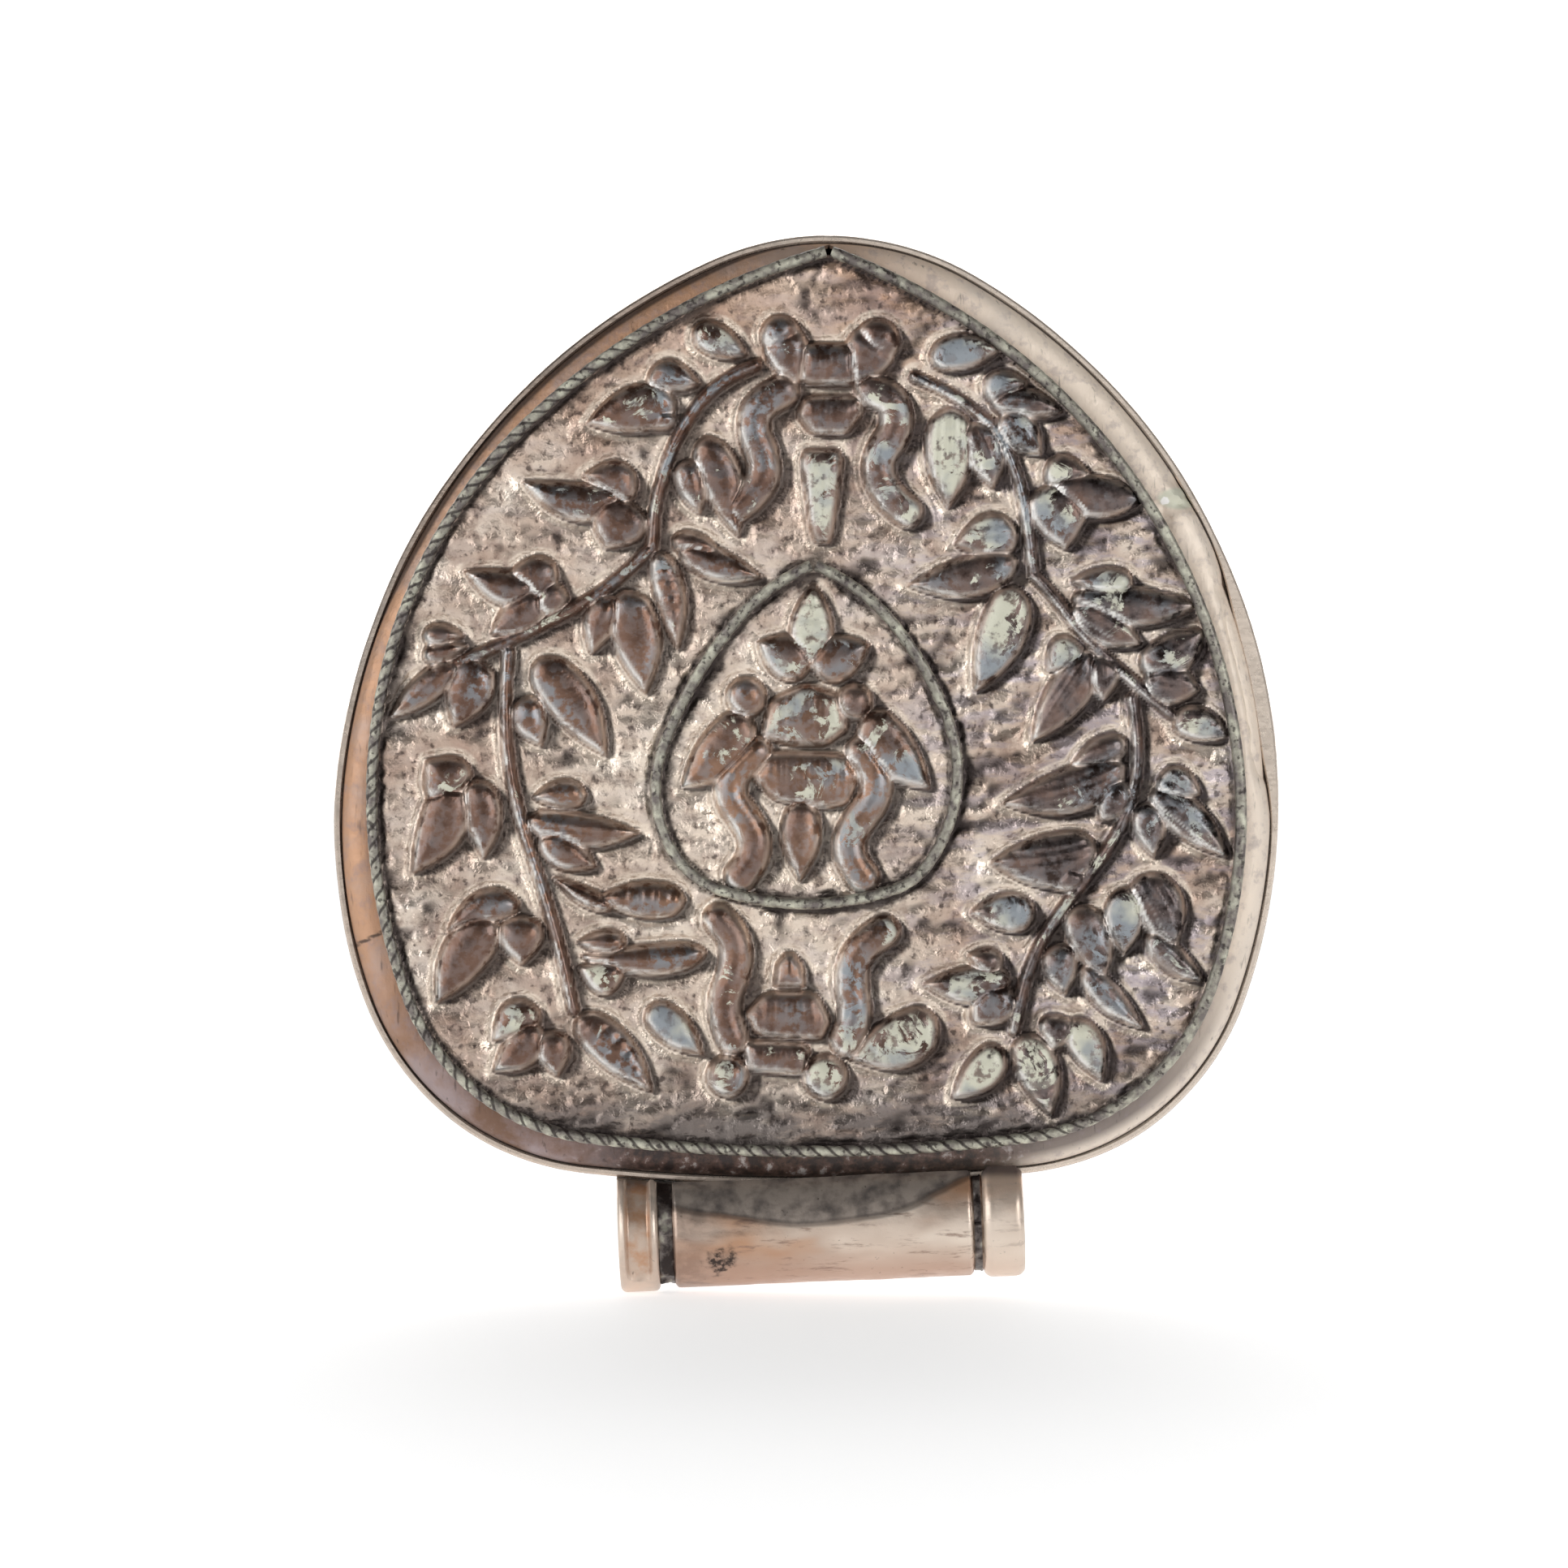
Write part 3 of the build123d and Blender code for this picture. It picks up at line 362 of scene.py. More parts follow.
class Outline:
    """A pear outline: two halves of five tangent arcs each, from the middle of the bottom to the point."""

    def __init__(self, width, height, lean, headings_right, headings_left, first_radius, last_radius, bottom):
        self.right = self.half(width, height, lean, headings_right, first_radius, last_radius, bottom)
        self.left = self.half(width, height, -lean, headings_left, first_radius, last_radius, bottom)
        self.pointed = headings_right[-1] < 180.0

    @staticmethod
    def half(width, height, lean, headings, first_radius, last_radius, bottom):
        """Arcs as (centre x, centre z, radius, first heading, last heading), drawn as a right half."""
        turn = np.radians([0.0, *headings])
        across = np.diff(np.sin(turn))
        up = -np.diff(np.cos(turn))
        to_widest = np.diff(np.sin(np.minimum(turn, np.pi / 2)))
        rows = np.array([across, up, to_widest])
        goal = np.array([lean, height, width / 2])
        radii = np.linalg.solve(rows[:, 1:4], goal - rows[:, 0] * first_radius - rows[:, 4] * last_radius)
        arcs = []
        x, z = 0.0, bottom
        for radius, start, end in zip([first_radius, *radii, last_radius], turn[:-1], turn[1:]):
            centre_x = x - radius * sin(start)
            centre_z = z + radius * cos(start)
            arcs.append((centre_x, centre_z, radius, start, end))
            x = centre_x + radius * sin(end)
            z = centre_z - radius * cos(end)
        return arcs

    def end_headings(self, inset):
        """Headings at which the last right and left arcs stop, once the outline is drawn in by inset."""
        rx, rz, r_radius, _, r_end = self.right[-1]
        lx, lz, l_radius, _, l_end = self.left[-1]
        if not self.pointed:
            return r_end, l_end
        a = r_radius - inset
        b = l_radius - inset
        dx = -lx - rx
        dz = lz - rz
        apart = hypot(dx, dz)
        along = (apart**2 + a**2 - b**2) / (2 * apart)
        aside = (a**2 - along**2) ** 0.5
        crossings = [(rx + (along * dx - s * aside * dz) / apart, rz + (along * dz + s * aside * dx) / apart)
                     for s in (1, -1)]
        x, z = max(crossings, key=lambda point: point[1])
        return atan2(x - rx, rz - z), atan2(-x - lx, lz - z)

    def path(self, inset, step, end_gap=0.0):
        """Points and outward normals from the point down the left, along the bottom and up the right."""
        right_end, left_end = self.end_headings(inset)
        halves = []
        for arcs, mirror, last in ((self.left, -1, left_end), (self.right, 1, right_end)):
            points = []
            normals = []
            for centre_x, centre_z, radius, start, end in arcs[:-1] + [arcs[-1][:4] + (last,)]:
                if end == last:
                    end = end - end_gap / radius
                count = max(2, int(radius * (end - start) / step))
                turn = np.linspace(start, end, count, endpoint=end == last)
                way = np.stack([mirror * np.sin(turn), -np.cos(turn)], 1)
                points.append([mirror * centre_x, centre_z] + (radius - inset) * way)
                normals.append(way)
            halves.append((np.vstack(points), np.vstack(normals)))
        (left, left_way), (right, right_way) = halves
        return np.vstack([left[:0:-1], right]), np.vstack([left_way[:0:-1], right_way])


body = Outline(BODY_WIDTH, BODY_HEIGHT, APEX_LEAN, BODY_HEADINGS_RIGHT, BODY_HEADINGS_LEFT,
               UNDERSIDE_RADIUS, APEX_RADIUS, BODY_BOTTOM)
panel = Outline(PANEL_WIDTH, PANEL_HEIGHT, APEX_LEAN, PANEL_HEADINGS_RIGHT, PANEL_HEADINGS_LEFT,
                PANEL_UNDERSIDE_RADIUS, PANEL_APEX_RADIUS, PANEL_BOTTOM)
medallion = Outline(MEDALLION_WIDTH, MEDALLION_HEIGHT, MEDALLION_LEAN, MEDALLION_HEADINGS, MEDALLION_HEADINGS,
                    MEDALLION_UNDERSIDE_RADIUS, MEDALLION_APEX_RADIUS, MEDALLION_BOTTOM)


def soft_noise(u, v, size, seed):
    """Smooth noise from 0 to 1 over a square lattice with cells of this size."""
    table = np.random.default_rng(seed).random((97, 97))
    u = np.asarray(u, float) / size + 500.0
    v = np.asarray(v, float) / size + 500.0
    i = np.floor(u).astype(int)
    j = np.floor(v).astype(int)
    f = u - i
    g = v - j
    f = f * f * (3 - 2 * f)
    g = g * g * (3 - 2 * g)
    i, j, k, m = i % 97, j % 97, (i + 1) % 97, (j + 1) % 97
    low = table[i, j] * (1 - f) + table[k, j] * f
    high = table[i, m] * (1 - f) + table[k, m] * f
    return low * (1 - g) + high * g


def held(value):
    """The value, held between 0 and 1."""
    return np.clip(value, 0, 1)


def smooth_step(value):
    """0 below 0, 1 above 1 and smooth between."""
    kept = held(value)
    return kept * kept * (3 - 2 * kept)


def bell(distance, width):
    """1 at no distance, falling smoothly to about a third at this width."""
    return np.exp(-(distance / width) ** 2)


def grid_quads(rows, columns, wrap_rows, wrap_columns):
    """Corner numbers of the quads of a grid of vertices."""
    i = np.arange(rows if wrap_rows else rows - 1)
    j = np.arange(columns if wrap_columns else columns - 1)
    i, j = np.meshgrid(i, j, indexing="ij")
    below = (i + 1) % rows
    beside = (j + 1) % columns
    here = i * columns
    under = below * columns
    return np.stack([here + j, here + beside, under + beside, under + j], -1).reshape(-1, 4)


def make_piece(node, vertices, faces, finish, slot, sharp=35.0, masks=None):
    """A smooth piece that stands for a CAD node and rides on its body."""
    name = f"{node}_piece"
    mesh = bpy.data.meshes.new(name)
    mesh.from_pydata((np.asarray(vertices) * MM).tolist(), [], [[int(i) for i in face] for face in faces])
    shape = bmesh.new()
    shape.from_mesh(mesh)
    bmesh.ops.recalc_face_normals(shape, faces=shape.faces)
    shape.to_mesh(mesh)
    shape.free()
    mesh.polygons.foreach_set("use_smooth", [True] * len(mesh.polygons))
    mesh.set_sharp_from_angle(angle=radians(sharp))
    for mask, values in (masks or {}).items():
        layer = mesh.attributes.new(mask, "FLOAT", "POINT")
        layer.data.foreach_set("value", np.asarray(values, np.float32))
    mesh.materials.append(finish)
    piece = bpy.data.objects.new(name, mesh)
    bpy.context.scene.collection.objects.link(piece)
    members = frame["record"]["behaviour"]["bodies"]
    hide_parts(node)
    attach(piece, next(name for name, nodes in members.items() if node in nodes))


def sweep(path, profile, wrap_path=True, wrap_profile=True):
    """A profile of (inset, y) points carried along a path; each point of the path may have its own."""
    points, normals = path
    profile = np.asarray(profile, float)
    if profile.ndim == 2:
        profile = np.broadcast_to(profile, (len(points), *profile.shape))
    x = points[:, None, 0] - profile[:, :, 0] * normals[:, None, 0]
    z = points[:, None, 1] - profile[:, :, 0] * normals[:, None, 1]
    vertices = np.stack([x, profile[:, :, 1], z], -1).reshape(-1, 3)
    return vertices, grid_quads(*profile.shape[:2], wrap_path, wrap_profile)


# Relief of the panel

def edge_distance(points, start, edge):
    """Distance of each point from the nearest of some straight edges."""
    rel = points[..., None, :] - start
    along = held((rel * edge).sum(-1) / (edge * edge).sum(-1))
    return np.sqrt(((rel - along[..., None] * edge) ** 2).sum(-1)).min(-1)


def polygon_depth(points, corners):
    """Distance of each point inside a closed polygon; negative outside."""
    start = np.asarray(corners)
    edge = np.roll(start, -1, 0) - start
    apart = edge_distance(points, start, edge)
    end = start + edge
    x, z = points[..., None, 0], points[..., None, 1]
    crosses = (start[:, 1] > z) != (end[:, 1] > z)
    rise = np.where(edge[:, 1] == 0, 1e-9, edge[:, 1])
    left = x < start[:, 0] + (z - start[:, 1]) * edge[:, 0] / rise
    inside = (crosses & left).sum(-1) % 2 == 1
    return np.where(inside, apart, -apart)


def line_distance(points, line):
    """Distance of each point from an open line."""
    start = np.asarray(line[:-1])
    return edge_distance(points, start, np.asarray(line[1:]) - start)


def smooth_line(points, rounds=3):
    """The same line with its corners cut until it is smooth."""
    line = np.asarray(points, float)
    for _ in range(rounds):
        near = 0.75 * line[:-1] + 0.25 * line[1:]
        far = 0.25 * line[:-1] + 0.75 * line[1:]
        line = np.vstack([line[:1], np.stack([near, far], 1).reshape(-1, 2), line[-1:]])
    return line


def round_corners(corners, rounds=2):
    """A closed outline with its corners cut off again and again until they look round."""
    outline = np.asarray(corners, float)
    for _ in range(rounds):
        after = np.roll(outline, -1, 0)
        near = 0.86 * outline + 0.14 * after
        far = 0.14 * outline + 0.86 * after
        outline = np.stack([near, far], 1).reshape(-1, 2)
    return outline


def leaf_outline(leaf, count=18):
    """Round root, two bowed sides and a sharp tip."""
    width, bow = LEAF_SPREAD * leaf[4], leaf[5]
    root = np.array(leaf[0:2])
    along = np.array(leaf[2:4]) - root
    left = np.array([-along[1], along[0]]) / hypot(*along)
    s = np.linspace(0, 1, count) ** 1.3
    half = width / 2 * (LEAF_ROOT * (1 - s) * (1 - 2 * s) + 4 * s * (1 - s))
    half = half * np.sqrt(1 - (held(LEAF_ROUND - s) / LEAF_ROUND) ** 2)
    middle = root + s[:, None] * along + (4 * bow * s * (1 - s))[:, None] * left
    return np.vstack([middle + half[:, None] * left, (middle - half[:, None] * left)[-2:0:-1]])


class Relief:
    """Heights over the ground of the panel on a grid of points."""

    def __init__(self, x, z):
        self.points = np.stack(np.meshgrid(x, z, indexing="ij"), -1)
        shape = self.points.shape[:2]
        self.height = np.zeros(shape)
        self.tarnish = np.zeros(shape)
        self.crest = np.zeros(shape)                  # share of its own rise that a motif reaches
        self.depth = np.full(shape, -RELIEF_REACH)    # inside the deepest motif; below 0 outside all
        self.second = np.full(shape, -RELIEF_REACH)   # the same for the next deepest
        self.low = np.array([x[0], z[0]])

    def window(self, spread):
        """The part of the grid that these points and their reach take up."""
        first = np.maximum(((spread.min(0) - RELIEF_REACH - self.low) / GRID).astype(int), 0)
        last = ((spread.max(0) + RELIEF_REACH - self.low) / GRID).astype(int) + 2
        return slice(first[0], last[0]), slice(first[1], last[1])

    def raise_motif(self, spread, depth_at, rise, tarnish, carving=None):
        """Raise what depth_at finds inside its outline; carving gives lines cut into it, from 0 to 1."""
        window = self.window(np.asarray(spread))
        points = self.points[window]
        depth = depth_at(points)
        reach = depth.max()
        if reach <= 0:
            return
        flank = (1 - np.exp(-np.maximum(depth, 0) / FLANK_WIDTH)) / (1 - np.exp(-reach / FLANK_WIDTH))
        crown = 1 - (1 - held(depth / reach)) ** 2
        raised = rise * ((1 - CROWN) * flank + CROWN * crown)
        if carving is not None:
            raised = raised - RIB_DEPTH * carving(points) * flank
        top = (depth > 0) & (raised > self.height[window])
        self.height[window] = np.where(top, raised, self.height[window])
        self.tarnish[window] = np.where(top, tarnish, self.tarnish[window])
        self.crest[window] = np.where(top, raised / rise, self.crest[window])
        first = self.depth[window]
        self.second[window] = np.maximum(np.minimum(first, depth), self.second[window])
        self.depth[window] = np.maximum(first, depth)

    def cut_creases(self):
        """A soft line where one leaf meets the next."""
        meeting = bell(self.depth - self.second, CREASE_WIDTH) * smooth_step(self.second / FLANK_WIDTH)
        self.height -= CREASE_DEPTH * meeting

    def lee(self, height):
        """Painted shadow that higher relief to the left and above casts on the ground, from 0 to 1."""
        shadowed = np.zeros(height.shape)
        for step in range(1, SHADOW_STEPS + 1):
            beside = np.roll(height, (step, -step // 2), (0, 1))
            shadowed = np.maximum(shadowed, beside - height - step * GRID * SHADOW_FALL)
        return held(shadowed / SHADOW_DEPTH)


def grooves(place, spacing, sharpness):
    """Parallel grooves, from 0 to 1."""
    return (0.5 + 0.5 * np.cos(2 * pi * place / spacing)) ** sharpness


def leaf_carving(leaf):
    """Chased lines on a leaf, by its pattern; None where it has none."""
    if len(leaf) < 8:
        return None
    bow, pattern = leaf[5], leaf[7]
    root = np.array(leaf[0:2])
    along = np.array(leaf[2:4]) - root
    length = hypot(*along)
    along = along / length

    def carving(points):
        rel = points - root
        s = (rel @ along) / length
        t = rel @ np.array([-along[1], along[0]]) - 4 * bow * s * (1 - s)
        if pattern == "ribs":
            return grooves(t, RIB_SPACING, 2)
        if pattern == "bands":
            return grooves(s * length, BAND_SPACING, 3)
        return sum(2.5 * bell((s - place) * length, 0.45) * bell(t, 0.5) for place in SEED_PLACES)

    return carving


def block_carving(points):
    """Upright grooves of the blocks."""
    return 0.6 * grooves(points[..., 0], BLOCK_GROOVE_SPACING, 2)


def strip(line, width):
    """A smoothed line, and a function for the depth inside a strip of this width along it."""
    smooth = smooth_line(line)
    return smooth, lambda points: width / 2 - line_distance(points, smooth)


def area(outline):
    """A closed outline, and a function for the depth inside it."""
    return outline, lambda points: polygon_depth(points, outline)


def circle(x, z, radius):
    """The middle of a circle, and a function for the depth inside it."""
    centre = np.array([x, z])
    return [centre], lambda points: radius - np.sqrt(((points - centre) ** 2).sum(-1))


def make_relief():
    """The whole front of the panel as heights and masks."""
    x = np.arange(-PANEL_WIDTH / 2, PANEL_WIDTH / 2 + GRID, GRID)
    z = np.arange(PANEL_BOTTOM, PANEL_BOTTOM + PANEL_HEIGHT + GRID, GRID)
    relief = Relief(x, z)
    for line in STEMS:
        relief.raise_motif(*strip(line, STEM_WIDTH), STEM_RISE, STEM_TARNISH)
    relief.stem_depth = relief.depth.copy()
    for leaf in LEAVES:
        relief.raise_motif(*area(leaf_outline(leaf)), LEAF_RISE, leaf[6], leaf_carving(leaf))
    for tarnish, line in RIBBONS:
        relief.raise_motif(*strip(line, RIBBON_WIDTH), RIBBON_RISE, tarnish)
    for tarnish, corners in BLOCKS:
        relief.raise_motif(*area(round_corners(corners)), BLOCK_RISE, tarnish, block_carving)
    for *place, tarnish in BALLS:
        relief.raise_motif(*circle(*place), BALL_RISE, tarnish)
    relief.cut_creases()
    return relief


def punched(gap):
    """Depth of the line and the hollow round a motif at this distance from it."""
    return CHASED_DEPTH * bell(gap, CHASED_WIDTH) + HOLLOW_DEPTH * bell(gap, HOLLOW_WIDTH)


def ground_height(relief, wire_gap):
    """Hammered ground with chased strokes, and the line punched round every motif and beside the wires."""
    x, z = relief.points[..., 0], relief.points[..., 1]
    blotches = soft_noise(x, z, BLOTCH_SIZE, 1) + 0.6 * soft_noise(x, z, SMALL_BLOTCH_SIZE, 2) - 0.8
    slant = radians(STROKE_SLANT)
    u = x * cos(slant) + z * sin(slant)
    v = z * cos(slant) - x * sin(slant)
    strokes = soft_noise(u, v * STROKE_SQUEEZE, STROKE_SIZE, 3) - 0.5
    fine = soft_noise(x, z, FINE_SIZE, 4) - 0.5
    on_right = held((x + 6.0) / 22.0)
    low_down = held((GRIMY_BELOW - z) / 5.0)
    streaky = np.maximum(on_right, low_down)
    hammered = BLOTCH_DEPTH * blotches * (1 - 0.5 * streaky)
    rough = hammered + STROKE_DEPTH * strokes * streaky + FINE_DEPTH * fine
    gap = np.maximum(-relief.depth, 0)
    calm = 0.35 + 0.65 * smooth_step((gap - 0.5) / 1.2)
    beside_wire = WIRE_LINE_DEPTH * bell(wire_gap, WIRE_LINE_WIDTH)
    return rough * calm - np.maximum(punched(gap), beside_wire)


def wire_distance(points):
    """Distance from the nearer of the two wires, in the plane of the panel; below 0 inside a wire."""
    ring, _ = medallion.path(WIRE_WIDTH / 2, 0.6)
    border, _ = panel.path(WIRE_WIDTH / 2, 1.0)
    gap = np.empty(points.shape[:2])
    for i, column in enumerate(points):
        apart = np.minimum(np.abs(polygon_depth(column, ring)), np.abs(polygon_depth(column, border)))
        gap[i] = apart - WIRE_WIDTH / 2
    return gap


def panel_edges(z):
    """Left and right limits of the panel at heights z."""
    points, _ = panel.path(0.0, 0.3)
    turn = int(np.argmin(points[:, 1]))
    left, right = points[:turn + 1][::-1], points[turn:]
    return np.interp(z, left[:, 1], left[:, 0]), np.interp(z, right[:, 1], right[:, 0])


def panel_masks(relief, ground, motif, lee, wire_gap):
    """What the panel's finish depends on, each from 0 to 1 over the grid."""
    x, z = relief.points[..., 0], relief.points[..., 1]
    gap = np.maximum(-relief.depth, 0)
    slope_x, slope_z = np.gradient(relief.height, GRID)
    above_stems = relief.depth > relief.stem_depth + 0.01
    return {
        "motif": motif,
        "tarnish": relief.tarnish,
        "crest": relief.crest,
        "edge": bell(relief.depth - 0.3, 0.25) * above_stems,
        # painted highlight: motif flanks that face down and to the left
        "rubbed": smooth_step((slope_x + slope_z - 0.5) / 0.8) * motif,
        # painted highlight: a light ring on the ground round each motif, left out where the painted shadow
        # falls
        "halo_highlight": bell(gap - 0.35, 0.35) * (1 - motif) * (1 - lee),
        "lee": lee,
        # painted shade on the ground along both sides of the wires
        "beside_wire": bell(np.maximum(wire_gap, 0), 0.6),
        "low": held(0.5 - (ground + punched(gap)) * 1.6),
        "worn": bell(x - WORN[0], WORN_REACH[0]) * bell(z - WORN[1], WORN_REACH[1]),
        "grimy": smooth_step((GRIMY_BELOW - z) / GRIMY_FADE),
    }


def make_panel(finish):
    """The relief as a grid trimmed under the border wire, with the panel's thin edge and its back."""
    relief = make_relief()
    x, z = relief.points[..., 0], relief.points[..., 1]
    wire_gap = wire_distance(relief.points)
    ground = ground_height(relief, np.maximum(wire_gap, 0))
    motif = held(relief.depth / MOTIF_EDGE + 0.3)
    height = ground * (1 - motif) + relief.height
    height = height + MOTIF_DENT * motif * (soft_noise(x, z, 0.9, 6) - 0.5)
    height[wire_gap < 0] = 0.0
    # painted shadow, cast to the right and down by the relief and the wires
    lee = relief.lee(np.where(wire_gap < 0, 0.6 * WIRE_RISE, height))

    left, right = panel_edges(z[0])
    hidden = 0.45 * WIRE_WIDTH
    kept = (x > left + hidden) & (x < right - hidden) & (z > PANEL_BOTTOM + hidden)
    cells = kept[:-1, :-1] & kept[1:, :-1] & kept[1:, 1:] & kept[:-1, 1:]
    quads = grid_quads(*x.shape, False, False).reshape(*cells.shape, 4)[cells]
    used, faces = np.unique(quads, return_inverse=True)
    front = np.stack([x, Y_PANEL - height, z], -1).reshape(-1, 3)[used]

    edge = [(0.0, Y_LAND), (0.0, Y_PANEL), (0.8, Y_PANEL)]
    rim, rim_faces = sweep(panel.path(0.0, 0.4), edge, True, False)
    faces = faces.reshape(-1, 4).tolist() + (rim_faces + len(front)).tolist()
    faces.append(list(range(len(front), len(front) + len(rim), len(edge))))
    masks = panel_masks(relief, ground, motif, lee, wire_gap)
    for name, values in masks.items():
        masks[name] = np.concatenate([values.reshape(-1)[used], np.zeros(len(rim))])
    vertices = np.vstack([front, rim])
    make_piece("repousse_panel", vertices, faces, finish, "panel_silver", 180.0, masks)


def border_wear(x, z):
    """The border's twist is rubbed flat towards the right, but not along the bottom."""
    return held((x + 20.0) / 30.0) * held((z - 14.0) / 6.0)


def medallion_wear(x, z):
    """The medallion's twist is rubbed evenly all round."""
    return np.full(x.shape, 0.6)


def make_wire(node, outline, step, wear, finish):
    """A twisted wire laid along an outline; wear(x, z) from 0 to 1 says where the twist is rubbed flat."""
    points, normals = outline.path(WIRE_WIDTH / 2, step, WIRE_END_GAP)
    length = np.concatenate([[0.0], np.cumsum(np.hypot(*np.diff(points, axis=0).T))])
    angle = np.linspace(0, 2 * pi, WIRE_SIDES, endpoint=False)
    twist = 2 * pi * length / (2 * TWIST_PITCH)
    lobes = np.abs(np.cos(angle[None, :] - twist[:, None]))
    flat = wear(points[:, 0], points[:, 1])[:, None]
    groove = (GROOVE_DEPTH - GROOVE_WEAR * flat) * (1 - lobes) ** 2
    across = WIRE_WIDTH / 2 * (1 - groove) * np.sign(np.cos(angle)) * np.abs(np.cos(angle)) ** 0.9
    out = WIRE_RISE / 2 * (1 - groove) * np.sin(angle)
    profile = np.stack([across, Y_PANEL - WIRE_RISE / 2 - out], -1)
    vertices, faces = sweep((points, normals), profile, False, True)
    faces = faces.tolist()
    faces.append(list(range(WIRE_SIDES)))
    faces.append(list(range(len(vertices) - WIRE_SIDES, len(vertices))))
    # painted shade: the flank that faces into the panel
    inner = held((np.cos(angle) - 0.1) / 0.5)
    masks = {
        "twist": ((1 - lobes) * (1 - 0.75 * flat)).reshape(-1),
        "inner": np.broadcast_to(inner, lobes.shape).reshape(-1),
    }
    make_piece(node, vertices, faces, finish, "wire_silver", 60.0, masks)


# Case

def case_dents(points, amount, seed):
    """Small dents along an outline, never outwards."""
    return amount * soft_noise(points[:, 0], points[:, 1], 7.0, seed)


def opened_seam(points):
    """How far the seam between wall and flange has come open, from 0 to 1: down the right side."""
    return np.exp(-((points[:, 1] - OPEN_SEAM_HEIGHT) / OPEN_SEAM_REACH) ** 4) * (points[:, 0] > 0)


def make_wall(finish):
    """The front side band, with a rounded, dented front edge."""
    path = body.path(0.0, 0.5)
    dent = SHY + case_dents(path[0], WALL_DENT, 11)
    edge = [(0.0, Y_LIP + 0.4), (0.08, Y_LIP + 0.15), (0.22, Y_LIP), (0.5, Y_LIP), (WALL, Y_LIP + 0.2)]
    profile = np.array([(0.0, Y_SEAM), *edge, (WALL, Y_SEAM)])
    rows = np.repeat(profile[None], len(path[0]), 0)
    rows[:, :5, 0] += dent[:, None]
    rows[:, 4:6, 0] += OPEN_LIP_WIDTH * opened_seam(path[0])[:, None]
    make_piece("front_wall", *sweep(path, rows), finish, "wall_silver")


def flange_profile():
    """Skirt, rolled outer edge and land, out and back, and which of these points are the front."""
    turn = np.linspace(0, pi / 2, 9)
    outer = [(WALL + ROLL_RADIUS * (1 - cos(t)), Y_LAND + ROLL_RADIUS * (1 - sin(t))) for t in turn]
    land = [(inset, Y_LAND) for inset in (3.2, 3.6, 4.0, 4.6, BEZEL_OPENING)]
    behind, under = WALL + BEZEL_SHEET, Y_LAND + BEZEL_SHEET
    inside = ROLL_RADIUS - BEZEL_SHEET
    inner = [(behind + inside * (1 - cos(t)), under + inside * (1 - sin(t))) for t in turn[::-2]]
    profile = [(WALL, Y_SKIRT), *outer, *land, (BEZEL_OPENING, under), *inner, (behind, Y_SKIRT)]
    return np.array(profile), slice(1, len(outer) + 4)


def flange_masks(flat, inset):
    """What the flange's finish depends on; flat is where its points are, seen from the front."""
    rim = panel.path(0.0, 1.0)[0]
    rim_gap = np.array([-polygon_depth(row, rim) for row in flat])
    from_patch = (flat - np.array(TEAR_PATCH)) / np.array(TEAR_PATCH_SIZE)
    from_glint = (flat - np.array(HOLE_GLINT)) / HOLE_GLINT_RADIUS
    # painted shade in the gap between the roll and the wall, wider at the upper left
    upper_left = smooth_step(-flat[:, :, 0] / 10.0) * smooth_step((flat[:, :, 1] - 56.0) / 8.0)
    line_width = 0.15 + 0.45 * upper_left
    roll_gap_shade = held(1.35 - (inset - WALL) / line_width)
    masks = {
        # painted shade on the flange just outside the panel's edge
        "seam": bell(np.maximum(rim_gap, 0), 0.3),
        "tear": np.exp(-(from_patch ** 2).sum(-1)),
        "crack_and_gap_shade": np.maximum(bell(line_distance(flat, CRACK), CRACK_WIDTH), roll_gap_shade),
        "roll": held(1.6 - (inset - WALL) / 0.8),
        "hole_glint": np.exp(-(from_glint ** 2).sum(-1)),
    }
    return {name: values.reshape(-1) for name, values in masks.items()}


def make_bezel(finish):
    """The flange, dented all round, torn at the upper right and open at its seam down the right side."""
    path = body.path(0.0, 0.28)
    points = path[0]
    x, z = points[:, 0], points[:, 1]
    profile, front = flange_profile()
    rows = np.repeat(profile[None], len(points), 0)
    inset, y = rows[:, front, 0], rows[:, front, 1]
    y += FLANGE_DENT * soft_noise(x, z, 4.0, 21)[:, None] * held((inset - WALL) / 1.5)
    tear = np.exp(-((points - np.array(TEAR)) ** 2).sum(-1) / TEAR_RADIUS**2)[:, None]
    y += tear * TEAR_DEPTH * (soft_noise(x + inset.T * 1.7, z - inset.T, 0.8, 22).T - 0.3)
    edge = held(1 - (inset - WALL) / 1.9)
    ragged = 0.75 + 0.5 * soft_noise(x, z, 1.6, 23)
    opened = (opened_seam(points) * ragged)[:, None]
    inset += opened * edge * OPEN_SEAM_WIDTH
    y += opened * edge * OPEN_SEAM_DEPTH
    vertices, faces = sweep(path, rows)
    flat = vertices[:, [0, 2]].reshape(*rows.shape[:2], 2)
    masks = flange_masks(flat, rows[:, :, 0])
    make_piece("front_bezel", vertices, faces, finish, "flange_silver", 50.0, masks)


def disc(path, y, rings, sag, seed):
    """A closed plate inside an outline, in rings that shrink to its middle, with shallow dents inwards."""
    points = path[0]
    middle = points.mean(0)
    vertices = []
    for share in rings:
        ring = middle + share * (points - middle)
        dent = sag * soft_noise(ring[:, 0], ring[:, 1], 9.0, seed) * (1 - share**6)
        vertices.append(np.stack([ring[:, 0], y - dent, ring[:, 1]], -1))
    count = len(points)
    faces = grid_quads(len(rings), count, False, True).tolist()
    faces.append([(len(rings) - 1) * count + i for i in range(count)])
    return np.vstack(vertices), faces


